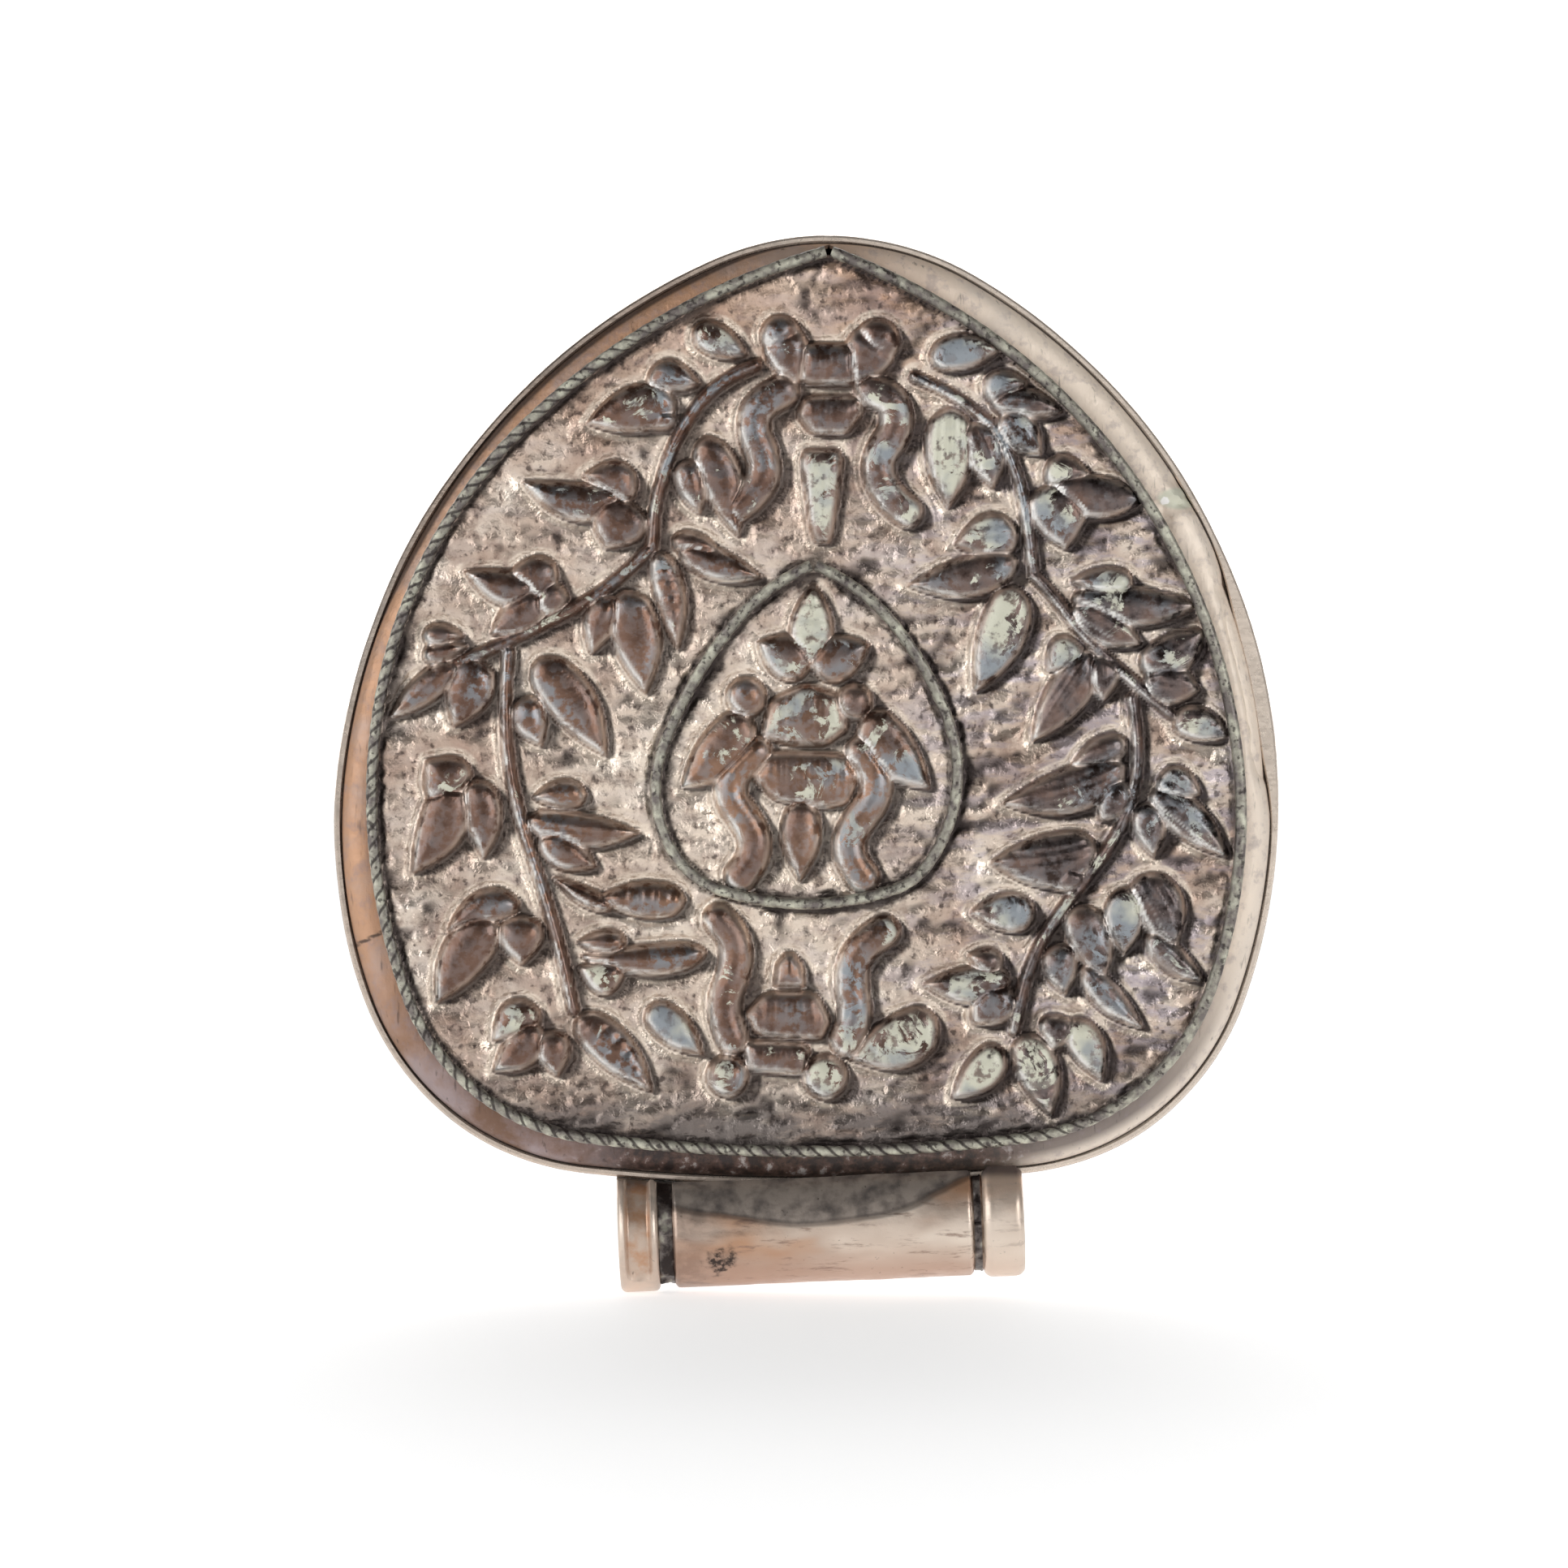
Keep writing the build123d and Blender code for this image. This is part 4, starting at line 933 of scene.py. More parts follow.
def make_back_plate(finish):
    """The plain back: a rounded edge, the dented outer face and the inner face."""
    inside = Y_BACK - PLATE_SHEET
    bevel = PLATE_EDGE_ROUND
    profile = [(PLATE_INSET, inside), (0.0, inside)]
    profile += [(bevel * (1 - cos(t)), Y_BACK - bevel * (1 - sin(t))) for t in np.linspace(0, pi / 2, 5)]
    edge, edge_faces = sweep(body.path(0.0, 0.6), profile, True, False)
    face, face_faces = disc(body.path(bevel, 0.6), Y_BACK, np.linspace(1, 0.04, 22), PLATE_DENT, 31)
    inner, inner_faces = disc(body.path(PLATE_INSET, 0.6), inside, [1.0, 0.5, 0.1], 0.0, 31)
    faces = edge_faces.tolist()
    faces += [[i + len(edge) for i in f] for f in face_faces]
    faces += [[i + len(edge) + len(face) for i in f] for f in inner_faces]
    make_piece("back_plate", np.vstack([edge, face, inner]), faces, finish, "cover_silver")


def make_back_rim(finish):
    """The back's side band."""
    path = body.path(0.0, 0.5)
    front, rear = Y_SEAM + SEAM_GAP, Y_BACK - PLATE_SHEET
    profile = np.array([(0.0, rear), (0.0, front + 0.15), (0.1, front), (RIM_WALL, front), (RIM_WALL, rear)])
    rows = np.repeat(profile[None], len(path[0]), 0)
    rows[:, :3, 0] += SHY + case_dents(path[0], RIM_DENT, 12)[:, None]
    make_piece("back_rim", *sweep(path, rows), finish, "cover_silver")


def make_back_sleeve(finish):
    """The inner band that slides into the front wall."""
    path = body.path(0.0, 0.5)
    front, rear = Y_SEAM - SLEEVE_ENGAGEMENT, Y_BACK - PLATE_SHEET
    inner = RIM_WALL + SLEEVE_SHEET
    profile = [(RIM_WALL, rear), (RIM_WALL, front + 0.2), (RIM_WALL + 0.15, front)]
    profile += [(inner, front), (inner, rear)]
    make_piece("back_sleeve", *sweep(path, profile), finish, "cover_silver")


# Cord tube

def lathe(stations, round_count=112):
    """Place, radius and angle of each point when (place, radius) stations are turned round the tube."""
    stations = np.asarray(stations, float)
    angle = np.linspace(0, 2 * pi, round_count, endpoint=False)
    place = np.repeat(stations[:, 0][:, None], round_count, 1)
    radius = np.repeat(stations[:, 1][:, None], round_count, 1)
    return place, radius, np.repeat(angle[None], len(stations), 0)


def seat_on_case(place, radius, angle):
    """Tube coordinates brought to the frame, with what would run into the case pressed flat under it."""
    tilt = radians(TUBE_TILT)
    y = TUBE_CENTRE[1] - radius * np.cos(angle)
    up = radius * np.sin(angle)
    x = TUBE_CENTRE[0] + place * cos(tilt) - up * sin(tilt)
    z = TUBE_CENTRE[2] + place * sin(tilt) + up * cos(tilt)
    underside = BODY_BOTTOM + UNDERSIDE_RADIUS - np.sqrt(UNDERSIDE_RADIUS**2 - x**2) - SOLDER_GAP
    z = np.where((y > Y_LAND - SOLDER_GAP) & (z > underside), underside, z)
    return np.stack([x, y, z], -1).reshape(-1, 3)


def rounded_ring(start, end, inner, outer, corner, steps=24):
    """Stations of a ring with rounded outer corners."""
    turn = np.linspace(0, pi / 2, 6)
    stations = [(start, inner)]
    stations += [(start + corner * (1 - sin(t)), outer - corner * (1 - cos(t))) for t in turn[::-1]]
    stations += [(place, outer) for place in np.linspace(start + corner, end - corner, steps)[1:-1]]
    stations += [(end - corner * (1 - sin(t)), outer - corner * (1 - cos(t))) for t in turn]
    return stations + [(end, inner)]


def tube_piece(node, place, radius, angle, finish, **masks):
    """One ring of the tube; masks are numbers or arrays for collar, hollow and solder."""
    spread = {name: np.broadcast_to(masks.get(name, 0.0), place.shape).reshape(-1)
              for name in ("collar", "hollow", "solder")}
    vertices = seat_on_case(place, radius, angle)
    make_piece(node, vertices, grid_quads(*place.shape, True, True), finish, "tube_silver", masks=spread)


def make_barrel(start, end, finish):
    """The dented sleeve round the middle of the tube."""
    place, radius, angle = lathe(rounded_ring(start, end, CORE_RADIUS, BARREL_RADIUS, BARREL_CORNER, 60))
    around = angle * BARREL_RADIUS
    wave = soft_noise(place, around, 5.0, 41) + 0.5 * soft_noise(place, around, 1.7, 42)
    outside = radius > BARREL_RADIUS - SKIN
    tube_piece("bail_barrel", place, radius - BARREL_DENT * wave * outside, angle, finish)


def make_left_collar(start, end, finish):
    """The collar with a U-shaped hollow in its front."""
    place, radius, angle = lathe(rounded_ring(start, end, CORE_RADIUS, COLLAR_RADIUS, LEFT_COLLAR_CORNER))
    turned = np.angle(np.exp(1j * angle))
    below = np.minimum(turned - radians(CHANNEL_LOW), 0) * COLLAR_RADIUS
    channel = held((CHANNEL_RADIUS - np.hypot(place - (start + end) / 2, below)) / CHANNEL_EDGE)
    hollow = channel * (turned < radians(CHANNEL_HIGH)) * (radius > CORE_RADIUS + SKIN)
    radius = radius - CHANNEL_DEPTH * hollow
    tube_piece("bail_collar_left", place, radius, angle, finish, collar=1.0, hollow=hollow)


def make_right_collar(start, end, finish):
    """The rounded, lightly dented collar."""
    place, radius, angle = lathe(rounded_ring(start, end, CORE_RADIUS, COLLAR_RADIUS, RIGHT_COLLAR_CORNER))
    dent = RIGHT_COLLAR_DENT * soft_noise(place, angle * COLLAR_RADIUS, 1.6, 43)
    radius = radius - dent * (radius > CORE_RADIUS + SKIN)
    tube_piece("bail_collar_right", place, radius, angle, finish, collar=1.0)


def make_core(half, necks, finish):
    """The inner tube, with lumps of solder in its necks."""
    stations = [(-half, BORE_RADIUS)]
    stations += [(spot, CORE_RADIUS) for spot in np.linspace(-half, half, 180)]
    stations += [(half, BORE_RADIUS)]
    place, radius, angle = lathe(stations)
    in_neck = sum((place > start) & (place < end) for start, end in necks) > 0
    neck = in_neck & (radius > BORE_RADIUS + SKIN)
    solder = SOLDER_RISE * soft_noise(place, angle * CORE_RADIUS, 0.7, 44) * neck
    tube_piece("bail_core", place, radius + solder, angle, finish, solder=1.0 * neck)


def make_tube(finish):
    """The four rings of the tube, from its left end to its right."""
    lengths = [LEFT_COLLAR_LENGTH, LEFT_NECK, BARREL_LENGTH, RIGHT_NECK, RIGHT_COLLAR_LENGTH]
    half = sum(lengths) / 2
    left_end = -half + LEFT_COLLAR_LENGTH
    barrel_start = left_end + LEFT_NECK
    barrel_end = barrel_start + BARREL_LENGTH
    right_start = barrel_end + RIGHT_NECK
    make_barrel(barrel_start, barrel_end, finish)
    make_left_collar(-half, left_end, finish)
    make_right_collar(right_start, half, finish)
    make_core(half, [(left_end, barrel_start), (barrel_end, right_start)], finish)


# Finishes: noise sizes, places and bump depths are in millimetres, the other numbers are shares from 0 to 1

class Nodes:
    """The nodes of a material or a world, and short ways to add to them."""

    def __init__(self, owner, coordinates):
        owner.use_nodes = True
        self.tree = owner.node_tree
        self.place = self.tree.nodes.new("ShaderNodeTexCoord").outputs[coordinates]
        split = self.tree.nodes.new("ShaderNodeSeparateXYZ")
        self.tree.links.new(self.place, split.inputs[0])
        self.x, self.y, self.z = split.outputs

    def set(self, socket, value):
        """Link a socket, or give it a number or a colour."""
        if isinstance(value, bpy.types.NodeSocket):
            self.tree.links.new(value, socket)
        else:
            socket.default_value = value

    def span(self, value, low, high, to_low=0.0, to_high=1.0):
        """Value carried from low..high to to_low..to_high, smoothly and held at the ends."""
        node = self.tree.nodes.new("ShaderNodeMapRange")
        node.interpolation_type = "SMOOTHSTEP"
        self.set(node.inputs["Value"], value)
        for name, number in (("From Min", low), ("From Max", high), ("To Min", to_low), ("To Max", to_high)):
            self.set(node.inputs[name], number)
        return node.outputs["Result"]

    def zone(self, place, start, end, to_start=0.0, to_end=1.0):
        """The same between two places, in millimetres."""
        return self.span(place, start * MM, end * MM, to_start, to_end)

    def math(self, operation, a, b=0.0):
        node = self.tree.nodes.new("ShaderNodeMath")
        node.operation = operation
        self.set(node.inputs[0], a)
        self.set(node.inputs[1], b)
        return node.outputs[0]

    def times(self, a, b):
        return self.math("MULTIPLY", a, b)

    def plus(self, a, b):
        return self.math("ADD", a, b)

    def minus(self, a, b):
        return self.math("SUBTRACT", a, b)


class Finish(Nodes):
    """A metal finish, with what its colours are made from."""

    def __init__(self, name):
        self.material = bpy.data.materials.new(name)
        super().__init__(self.material, "Object")
        self.shader = self.tree.nodes["Principled BSDF"]

    def mask(self, name):
        """A mask that the piece's mesh carries."""
        node = self.tree.nodes.new("ShaderNodeAttribute")
        node.attribute_name = name
        return node.outputs["Fac"]

    def noise(self, size, detail=4.0, roughness=0.55, stretch=(1.0, 1.0, 1.0), distortion=0.0):
        """Noise with blotches of about this size in millimetres; stretch makes them longer along an axis."""
        node = self.tree.nodes.new("ShaderNodeTexNoise")
        mapping = self.tree.nodes.new("ShaderNodeMapping")
        mapping.inputs["Scale"].default_value = [1.0 / s for s in stretch]
        self.tree.links.new(self.place, mapping.inputs["Vector"])
        self.tree.links.new(mapping.outputs[0], node.inputs["Vector"])
        node.inputs["Scale"].default_value = 1.0 / (size * MM)
        node.inputs["Detail"].default_value = detail
        node.inputs["Roughness"].default_value = roughness
        node.inputs["Distortion"].default_value = distortion
        return node.outputs["Fac"]

    def mix(self, share, a, b):
        node = self.tree.nodes.new("ShaderNodeMix")
        node.data_type = "RGBA"
        self.set(node.inputs["Factor"], share)
        self.set(node.inputs[6], a)
        self.set(node.inputs[7], b)
        return node.outputs[2]

    def stain(self, colour, tone, value, low, high, share=1.0):
        """Colour turned to tone by up to this share as value goes from low to high."""
        return self.mix(self.span(value, low, high, 0.0, share), colour, tone)

    def tones(self, value, *stops):
        """A colour ramp; each stop is (place, colour)."""
        node = self.tree.nodes.new("ShaderNodeValToRGB")
        ramp = node.color_ramp
        while len(ramp.elements) < len(stops):
            ramp.elements.new(0.5)
        for element, (place, colour) in zip(ramp.elements, stops):
            element.position = place
            element.color = colour
        self.set(node.inputs["Fac"], value)
        return node.outputs["Color"]

    def finish(self, colour, metallic, roughness, heights):
        """Link the shader; heights is a list of (value, depth in millimetres) for the bump."""
        self.set(self.shader.inputs["Base Color"], colour)
        self.set(self.shader.inputs["Metallic"], metallic)
        self.set(self.shader.inputs["Roughness"], roughness)
        normal = None
        for value, depth in heights:
            bump = self.tree.nodes.new("ShaderNodeBump")
            bump.inputs["Strength"].default_value = 1.0
            bump.inputs["Distance"].default_value = depth * MM
            self.set(bump.inputs["Height"], value)
            if normal is not None:
                self.tree.links.new(normal, bump.inputs["Normal"])
            normal = bump.outputs["Normal"]
        self.tree.links.new(normal, self.shader.inputs["Normal"])
        return self.material


def linear(channel):
    """A screen channel from 0 to 255, in linear light."""
    if channel > 10:
        return ((channel / 255 + 0.055) / 1.055) ** 2.4
    return channel / 255 / 12.92


def screen(red, green, blue):
    """A colour as it looks on a screen, in linear light."""
    return linear(red), linear(green), linear(blue), 1.0


BEIGE = screen(204, 184, 168)
CREAM = screen(236, 222, 207)
LIGHT = screen(246, 230, 212)
PINK = screen(182, 153, 136)
ORANGE = screen(194, 152, 122)
DULL_BROWN = screen(142, 117, 104)
GREY_VIOLET = screen(152, 139, 142)
LILAC = screen(192, 181, 188)
GREY_BROWN = screen(116, 108, 104)
DARK = screen(48, 40, 38)
BROWN = screen(102, 78, 67)
WARM_BROWN = screen(124, 97, 84)
SLATE = screen(98, 87, 85)
COPPER = screen(250, 232, 216)
PALE_GREEN = screen(212, 211, 192)
DULL_GREEN = screen(162, 158, 145)
BLUE_GREY = screen(142, 149, 155)
SILVER = screen(214, 208, 200)
DULL_SILVER = screen(168, 156, 146)
WHITE = screen(250, 248, 244)


def panel_ground(n):
    """Beige to violet grey, rubbed bright in the middle, grimy low down and dark in its hollows, with a
    painted highlight round the motifs, painted shadow to their lower right and painted shade beside the
    wires.
    """
    colour = n.tones(n.clouds, (0.34, PINK), (0.5, BEIGE), (0.66, CREAM))
    colour = n.mix(n.times(n.worn, 0.9), colour, LIGHT)
    colour = n.mix(n.zone(n.z, 66.0, 84.0, 0.0, 0.45), colour, ORANGE)
    colour = n.stain(colour, DULL_BROWN, n.mottle, 0.46, 0.66, 0.6)
    violet = n.mix(n.span(n.clouds, 0.4, 0.6), GREY_VIOLET, LILAC)
    streaky = n.times(n.span(n.streaks, 0.42, 0.6), n.span(n.to_right, 0.0, 1.0, 0.15, 0.8))
    colour = n.mix(streaky, colour, violet)
    grimy = n.times(n.mask("grimy"), n.span(n.streaks, 0.3, 0.55, 0.4, 0.95))
    colour = n.mix(grimy, colour, GREY_BROWN)
    colour = n.stain(colour, DARK, n.pits, 0.56, 0.7, 0.7)
    colour = n.stain(colour, DARK, n.mask("low"), 0.52, 0.92, 0.85)
    # painted highlight round the motifs, in patches
    halo_highlight = n.times(n.span(n.mask("halo_highlight"), 0.15, 0.8), n.span(n.patches, 0.36, 0.58, 0.15, 0.85))
    colour = n.mix(halo_highlight, colour, LIGHT)
    # painted shadow on the ground to the lower right of the motifs, stronger towards the right
    shadowed = n.times(n.span(n.mask("lee"), 0.03, 0.5), n.span(n.to_right, 0.0, 1.0, 0.82, 0.95))
    colour = n.mix(shadowed, colour, DARK)
    # painted shade along the wires
    return n.stain(colour, DARK, n.mask("beside_wire"), 0.5, 1.0, 0.5)


def panel_tarnish(n, crest):
    """Share of pale tarnish in patches on the crests, more of it where a motif's own amount is high."""
    bare = n.minus(n.zone(n.z, 50.0, 70.0, 0.74, 0.7), n.times(n.mask("tarnish"), 0.38))
    pale = n.times(n.span(n.minus(n.patches, bare), -0.01, 0.04), n.span(crest, 0.5, 0.8))
    return n.times(pale, n.span(n.pits, 0.66, 0.5, 0.15, 0.95))


def panel_motifs(n, crest, pale):
    """Brown on the left and slate on the right, with tarnished crests, rubbed edges and a painted white
    highlight on the flanks that face down and to the left.
    """
    brown = n.tones(n.mottle, (0.34, BROWN), (0.6, WARM_BROWN))
    slate = n.tones(n.mottle, (0.34, DARK), (0.48, SLATE), (0.68, WARM_BROWN))
    colour = n.mix(n.to_right, brown, slate)
    dull = n.times(n.span(n.patches, 0.5, 0.6), n.zone(n.z, 50.0, 70.0, 0.1, 0.7))
    colour = n.mix(dull, colour, SLATE)
    colour = n.mix(n.times(n.worn, n.span(n.clouds, 0.35, 0.6, 0.0, 0.4)), colour, ORANGE)
    thin = n.times(n.span(n.clouds, 0.45, 0.62, 0.15, 0.8), n.span(n.pits, 0.42, 0.58))
    colour = n.mix(n.times(thin, crest), colour, BLUE_GREY)
    colour = n.mix(pale, colour, n.mix(n.span(n.clouds, 0.44, 0.6), PALE_GREEN, BLUE_GREY))
    rubbed = n.times(n.mask("edge"), n.span(n.mottle, 0.36, 0.5))
    colour = n.mix(n.times(rubbed, 0.4), colour, COPPER)
    # painted white highlight on the flanks that face down and to the left
    lower_left_glint = n.times(n.mask("rubbed"), n.span(n.patches, 0.42, 0.54, 0.2, 1.0))
    return n.mix(lower_left_glint, colour, WHITE)


def panel_finish():
    """The hammered ground and, where the motif mask is 1, the dark motifs."""
    n = Finish("panel_silver")
    n.clouds = n.noise(8.0, 4.0, 0.55)
    n.mottle = n.noise(1.6, 4.0, 0.6)
    n.patches = n.noise(2.4, 6.0, 0.68, distortion=0.6)
    n.pits = n.noise(0.8, 3.0, 0.55)
    n.streaks = n.noise(1.5, 4.0, 0.6, (2.6, 1.0, 0.8))
    n.worn = n.mask("worn")
    n.to_right = n.zone(n.x, -12.0, 30.0)
    grain = n.noise(0.4, 2.0, 0.5)
    motif = n.mask("motif")
    crest = n.mask("crest")
    pale = panel_tarnish(n, crest)
    colour = n.mix(motif, panel_ground(n), panel_motifs(n, crest, pale))
    metal = n.times(n.span(motif, 0.0, 1.0, 0.76, 0.85), n.minus(1.0, pale))
    rough = n.span(n.mottle, 0.3, 0.7, 0.28, 0.42)
    calm = n.span(motif, 0.0, 1.0, 1.0, 0.2)
    bumps = [(n.times(n.mottle, calm), 0.12), (n.times(n.pits, calm), 0.07), (grain, 0.015)]
    return n.finish(colour, metal, rough, bumps)


def wire_finish():
    """Dull green wire with pale places, dark in its twist, and painted shade down its inner flank."""
    n = Finish("wire_silver")
    mottle = n.noise(1.2, 5.0, 0.6)
    specks = n.noise(0.5, 3.0, 0.5)
    colour = n.tones(mottle, (0.38, GREY_BROWN), (0.52, DULL_GREEN), (0.7, PALE_GREEN))
    colour = n.stain(colour, DARK, specks, 0.54, 0.66, 0.8)
    colour = n.stain(colour, DARK, n.mask("twist"), 0.45, 0.8, 0.85)
    # painted shade down the inner flank
    colour = n.mix(n.times(n.mask("inner"), 0.55), colour, DARK)
    rough = n.span(mottle, 0.3, 0.7, 0.34, 0.52)
    return n.finish(colour, 0.4, rough, [(specks, 0.06)])


def flange_finish():
    """Worn flange: orange on the left, cream on the right, violet grey and brown towards the bottom, with
    painted shade beside the panel and along the roll's outer edge, and a painted white glint by the tear.
    """
    n = Finish("flange_silver")
    clouds = n.noise(6.0, 5.0, 0.6)
    mottle = n.noise(1.1, 6.0, 0.6)
    scratches = n.noise(0.5, 3.0, 0.5, (1.0, 1.0, 6.0))
    to_right = n.zone(n.x, -10.0, 20.0)
    left = n.tones(clouds, (0.35, PINK), (0.5, ORANGE))
    right = n.tones(clouds, (0.3, CREAM), (0.48, LIGHT))
    colour = n.mix(to_right, left, right)
    bottom = n.mix(to_right, n.tones(clouds, (0.4, GREY_VIOLET), (0.6, BROWN)), SLATE)
    colour = n.mix(n.times(n.zone(n.z, 34.0, 14.0), 0.85), colour, bottom)
    rolled = n.times(n.mask("roll"), n.times(to_right, n.zone(n.z, 75.0, 60.0)))
    colour = n.mix(n.times(rolled, 0.9), colour, CREAM)
    near_tube = n.zone(n.math("ABSOLUTE", n.x), 22.0, 14.0, 0.0, 0.92)
    soot = n.tones(mottle, (0.4, DARK), (0.58, BROWN), (0.68, SILVER))
    colour = n.mix(n.times(n.zone(n.z, 14.5, 12.0), near_tube), colour, soot)
    colour = n.stain(colour, GREY_VIOLET, mottle, 0.5, 0.7, 0.4)
    colour = n.stain(colour, DARK, scratches, 0.62, 0.75, 0.5)
    colour = n.stain(colour, PALE_GREEN, n.mask("tear"), 0.3, 0.6)
    # painted shade beside the panel's edge
    colour = n.stain(colour, DARK, n.mask("seam"), 0.4, 0.95, 0.7)
    # the crack, and painted shade along the roll's outer edge
    colour = n.stain(colour, DARK, n.mask("crack_and_gap_shade"), 0.3, 0.8, 0.8)
    # painted white glint by the tear
    colour = n.stain(colour, WHITE, n.mask("hole_glint"), 0.4, 0.6)
    metal = n.span(to_right, 0.0, 1.0, 0.5, 0.15)
    rough = n.span(mottle, 0.3, 0.7, 0.38, 0.55)
    return n.finish(colour, metal, rough, [(mottle, 0.1), (scratches, 0.05)])


def wall_finish(name, lip):
    """Plain handled silver with fine scratches; lip is the share by which its front edge is rubbed pale, made
    stronger on the right and weaker at the upper left as a painted highlight.
    """
    n = Finish(name)
    clouds = n.noise(11.0, 5.0, 0.6)
    mottle = n.noise(1.4, 6.0, 0.6)
    scratches = n.noise(0.3, 2.0, 0.5, (12.0, 12.0, 1.0))
    colour = n.tones(clouds, (0.3, DULL_SILVER), (0.7, BEIGE))
    colour = n.stain(colour, GREY_BROWN, mottle, 0.45, 0.75, 0.2)
    colour = n.stain(colour, DARK, scratches, 0.62, 0.74, 0.25)
    # the front edge is rubbed pale, with a painted highlight: strongest on the right, weaker at the upper
    # left
    upper_left = n.times(n.zone(n.x, 0.0, -12.0), n.zone(n.z, 55.0, 65.0))
    light_side = n.minus(n.zone(n.x, -20.0, 10.0, 0.4, 1.0), n.times(upper_left, 0.4))
    bright = n.times(n.zone(n.y, Y_LIP + 0.6, Y_LIP, 0.0, lip), light_side)
    colour = n.mix(bright, colour, CREAM)
    metal = n.span(bright, 0.0, 1.0, 0.8, 0.4)
    rough = n.span(mottle, 0.3, 0.7, 0.2, 0.36)
    return n.finish(colour, metal, rough, [(clouds, 0.45), (scratches, 0.012)])


def tube_metal(n, clouds, mottle, collar):
    """Beige silver below and grey above, where a dark reflection is painted, with a darker painted line
    between.
    """
    light = n.tones(clouds, (0.38, ORANGE), (0.48, BEIGE), (0.62, CREAM))
    light = n.mix(n.zone(n.z, 5.0, 2.0, 0.0, 0.85), light, PINK)
    streaks = n.noise(0.7, 5.0, 0.65, (5.0, 1.0, 1.0))
    light = n.stain(light, DULL_BROWN, streaks, 0.54, 0.68, 0.75)
    brown = n.tones(mottle, (0.4, DULL_BROWN), (0.6, PINK))
    light = n.mix(n.zone(n.x, -4.0, -11.0, 0.0, 0.6), light, brown)
    dark = n.tones(mottle, (0.3, GREY_BROWN), (0.6, DULL_SILVER))
    off_middle = n.plus(n.x, 1.5 * MM)
    bowl = n.times(n.times(off_middle, off_middle), REFLECTION_BOWL)
    limit = n.plus(n.minus(n.z, bowl), n.times(n.minus(clouds, 0.5), 3.0 * MM))
    # painted dark reflection over the upper part of the tube, less on the collars, with a darker painted line
    # along its lower edge
    dark_reflection = n.times(n.zone(limit, 6.2, 6.6), n.span(collar, 0.0, 1.0, 1.0, 0.25))
    border = n.times(n.zone(limit, 5.8, 6.2), n.zone(limit, 6.8, 6.4))
    return n.mix(n.times(border, 0.6), n.mix(dark_reflection, light, dark), DARK)


def tube_burn(n, mottle, specks):
    """Share of the ragged round burn on the front of the barrel."""
    x, z, radius = BURN
    across = n.math("DIVIDE", n.minus(n.x, x * MM), radius * MM)
    upward = n.math("DIVIDE", n.minus(n.z, z * MM), radius * MM)
    away = n.plus(n.times(across, across), n.times(upward, upward))
    ragged = n.plus(away, n.span(mottle, 0.35, 0.65, -0.6, 0.9))
    burn = n.times(n.span(ragged, 1.5, 0.2), n.zone(n.y, -7.5, -8.5))
    return n.times(burn, n.span(specks, 0.4, 0.55, 0.3, 0.95))


def tube_finish():
    """The metal of the cord tube with its painted dark reflection above, its paler collars with painted dark
    tops, the hollow with painted shade at its top, the solder and the burn.
    """
    n = Finish("tube_silver")
    clouds = n.noise(6.0, 3.0, 0.5, (2.5, 1.0, 1.0))
    mottle = n.noise(1.4, 4.0, 0.55)
    specks = n.noise(0.5, 3.0, 0.5)
    collar = n.mask("collar")
    colour = tube_metal(n, clouds, mottle, collar)
    colour = n.mix(n.times(collar, 0.5), colour, CREAM)
    warm = n.tones(mottle, (0.35, ORANGE), (0.6, BEIGE))
    # painted shade in the top of the hollow, under its overhanging edge
    colour = n.mix(n.mask("hollow"), colour, n.mix(n.zone(n.z, 8.5, 10.5), warm, DARK))
    solder = n.tones(mottle, (0.44, DARK), (0.6, GREY_BROWN), (0.7, DULL_GREEN))
    colour = n.mix(n.mask("solder"), colour, solder)
    # painted dark reflection on the tops of the collars
    colour = n.mix(n.times(collar, n.zone(n.z, 9.8, 10.6, 0.0, 0.9)), colour, SLATE)
    colour = n.mix(tube_burn(n, mottle, specks), colour, DARK)
    colour = n.stain(colour, DARK, specks, 0.68, 0.78, 0.6)
    rough = n.span(mottle, 0.3, 0.7, 0.28, 0.42)
    return n.finish(colour, 0.6, rough, [(mottle, 0.06), (specks, 0.02)])


make_panel(panel_finish())
wire_material = wire_finish()
make_wire("border_wire", panel, 0.24, border_wear, wire_material)
make_wire("medallion_wire", medallion, 0.2, medallion_wear, wire_material)
make_wall(wall_finish("wall_silver", 0.75))
make_bezel(flange_finish())
cover_material = wall_finish("cover_silver", 0.0)
make_back_plate(cover_material)
make_back_rim(cover_material)
make_back_sleeve(cover_material)
make_tube(tube_finish())


# Floor, light and camera

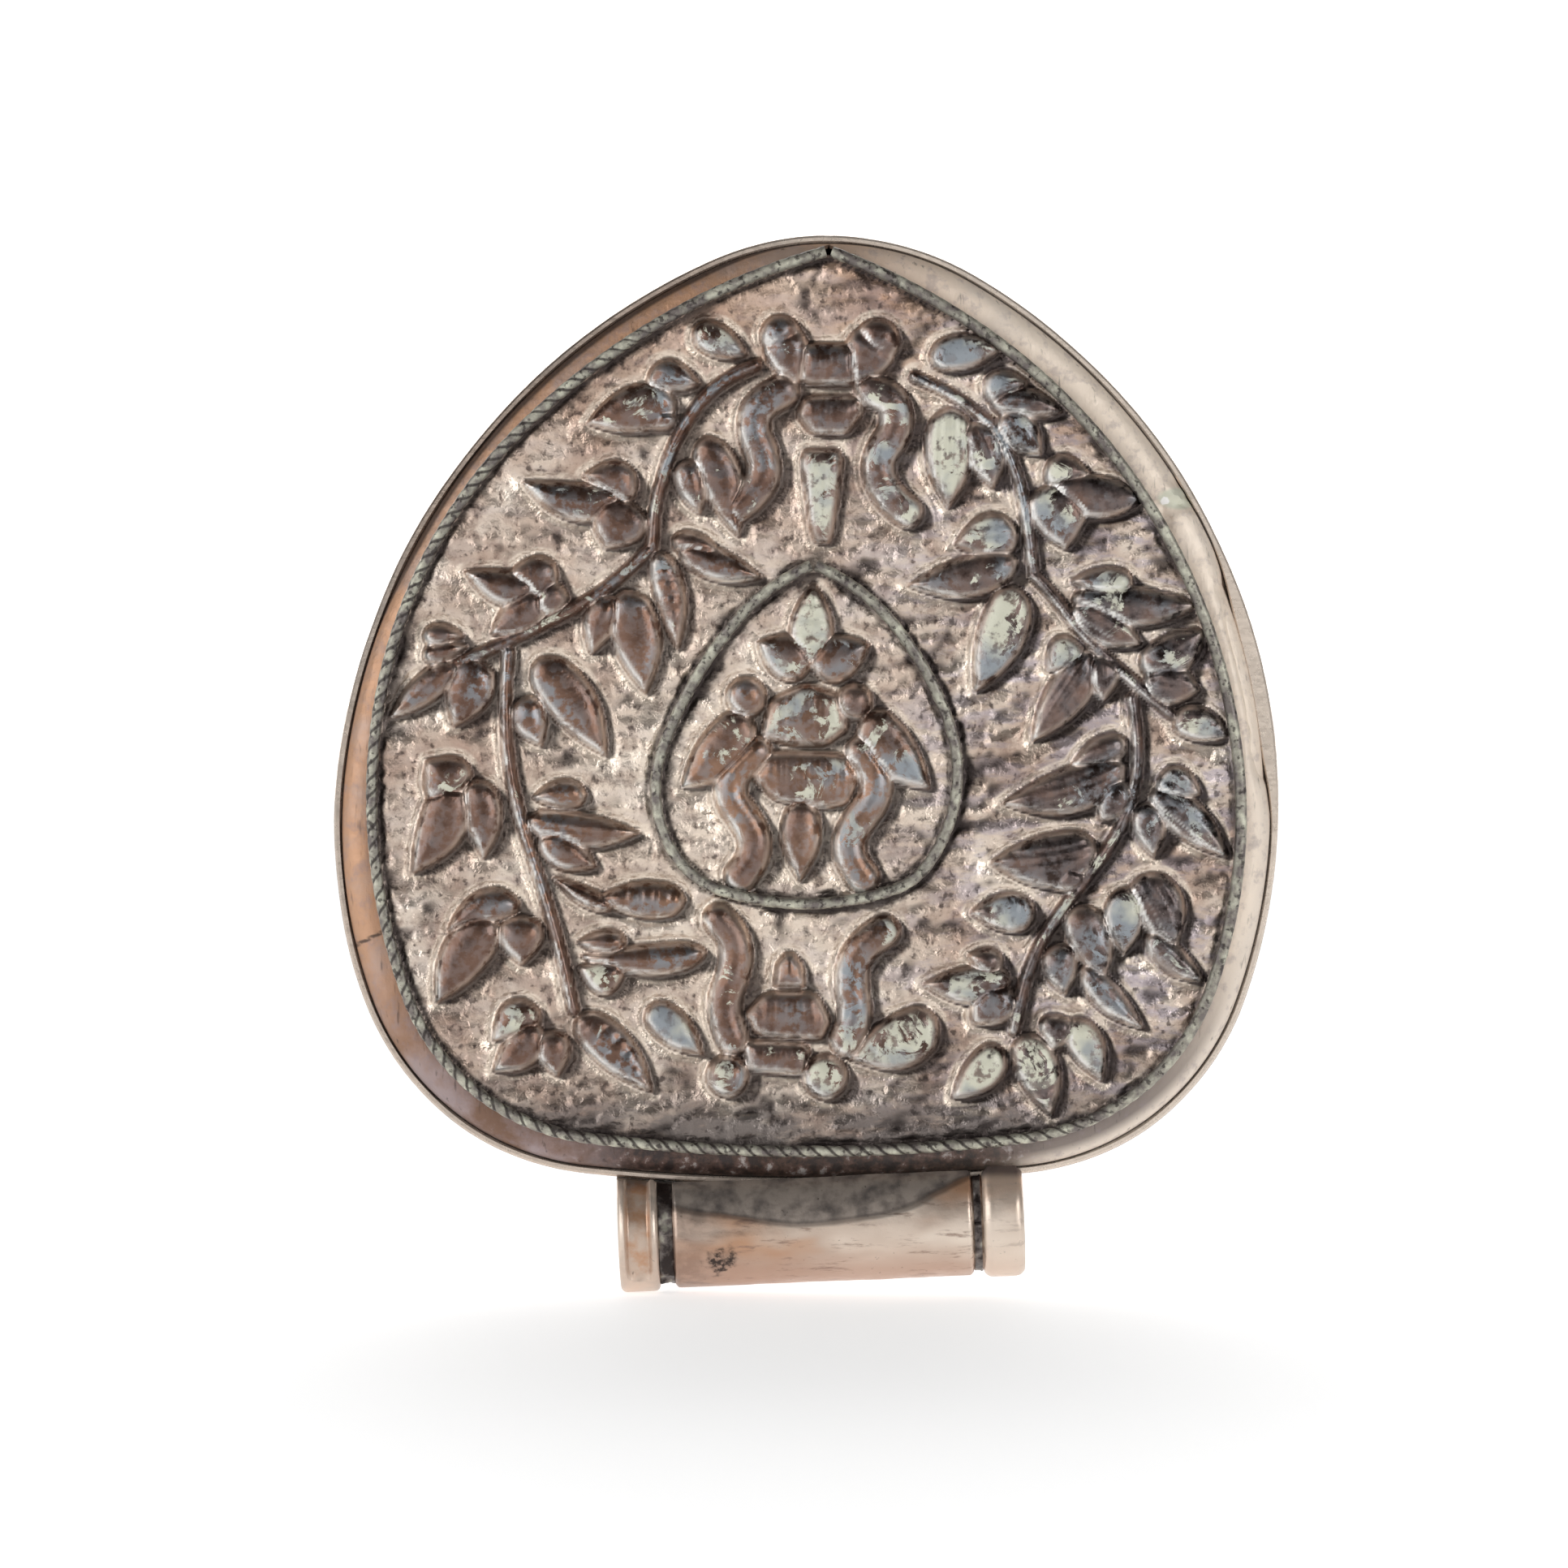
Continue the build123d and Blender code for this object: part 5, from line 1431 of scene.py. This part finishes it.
def make_floor():
    """A white floor that glows a little, so that it meets the white background."""
    bpy.ops.mesh.primitive_plane_add(size=FLOOR_SIZE, location=(0.0, 0.0, 0.0))
    floor = bpy.context.object
    floor.name = "floor"
    material = bpy.data.materials.new("floor_white")
    material.use_nodes = True
    shader = material.node_tree.nodes["Principled BSDF"]
    shader.inputs["Base Color"].default_value = FLOOR_WHITE
    shader.inputs["Roughness"].default_value = FLOOR_ROUGHNESS
    shader.inputs["Emission Color"].default_value = PURE_WHITE
    shader.inputs["Emission Strength"].default_value = FLOOR_GLOW
    floor.data.materials.append(material)


def make_light(name, place, size, power):
    """A square lamp turned towards the middle of the box."""
    lamp = bpy.data.lights.new(name, "AREA")
    lamp.energy = power
    lamp.size = size
    light = bpy.data.objects.new(name, lamp)
    light.location = place
    way = np.array(LIGHT_AIM) - np.array(place)
    light.rotation_euler = (atan2(hypot(way[0], way[1]), -way[2]), 0.0, atan2(way[1], way[0]) - pi / 2)
    bpy.context.scene.collection.objects.link(light)


def make_world():
    """White to the eye. Light comes from a white backdrop and from low all round, more from the left."""
    world = bpy.data.worlds.new("studio")
    bpy.context.scene.world = world
    n = Nodes(world, "Generated")
    behind = n.span(n.y, 0.55, 0.85, 0.0, BACKDROP_GLOW)
    low = n.span(n.z, 0.05, 0.5, LOW_GLOW, HIGH_GLOW)
    left = n.span(n.x, -0.6, 0.6, 1.2, 0.5)
    light = n.math("MAXIMUM", behind, n.times(low, left))
    ray = n.tree.nodes.new("ShaderNodeLightPath")
    background = n.tree.nodes["Background"]
    n.set(background.inputs["Color"], PURE_WHITE)
    n.set(background.inputs["Strength"], n.math("MAXIMUM", light, ray.outputs["Is Camera Ray"]))


def make_camera():
    """The photograph's view: from the front, a little above."""
    elevation = radians(CAMERA_ELEVATION)
    camera_data = bpy.data.cameras.new("camera")
    camera_data.sensor_width = SENSOR_WIDTH
    camera_data.lens = SENSOR_WIDTH * CAMERA_DISTANCE / VIEW_WIDTH
    camera = bpy.data.objects.new("camera", camera_data)
    aim = np.array([VIEW_CENTRE[0], Y_PANEL, VIEW_CENTRE[1]])
    camera.location = (aim + CAMERA_DISTANCE * np.array([0.0, -cos(elevation), sin(elevation)])) * MM
    camera.rotation_euler = (pi / 2 - elevation, 0.0, 0.0)
    bpy.context.scene.collection.objects.link(camera)
    bpy.context.scene.camera = camera


make_floor()
make_world()
for light_name, (light_place, light_size, light_power) in LIGHTS.items():
    make_light(light_name, light_place, light_size, light_power)
make_camera()
bpy.context.scene.view_settings.view_transform = "Standard"
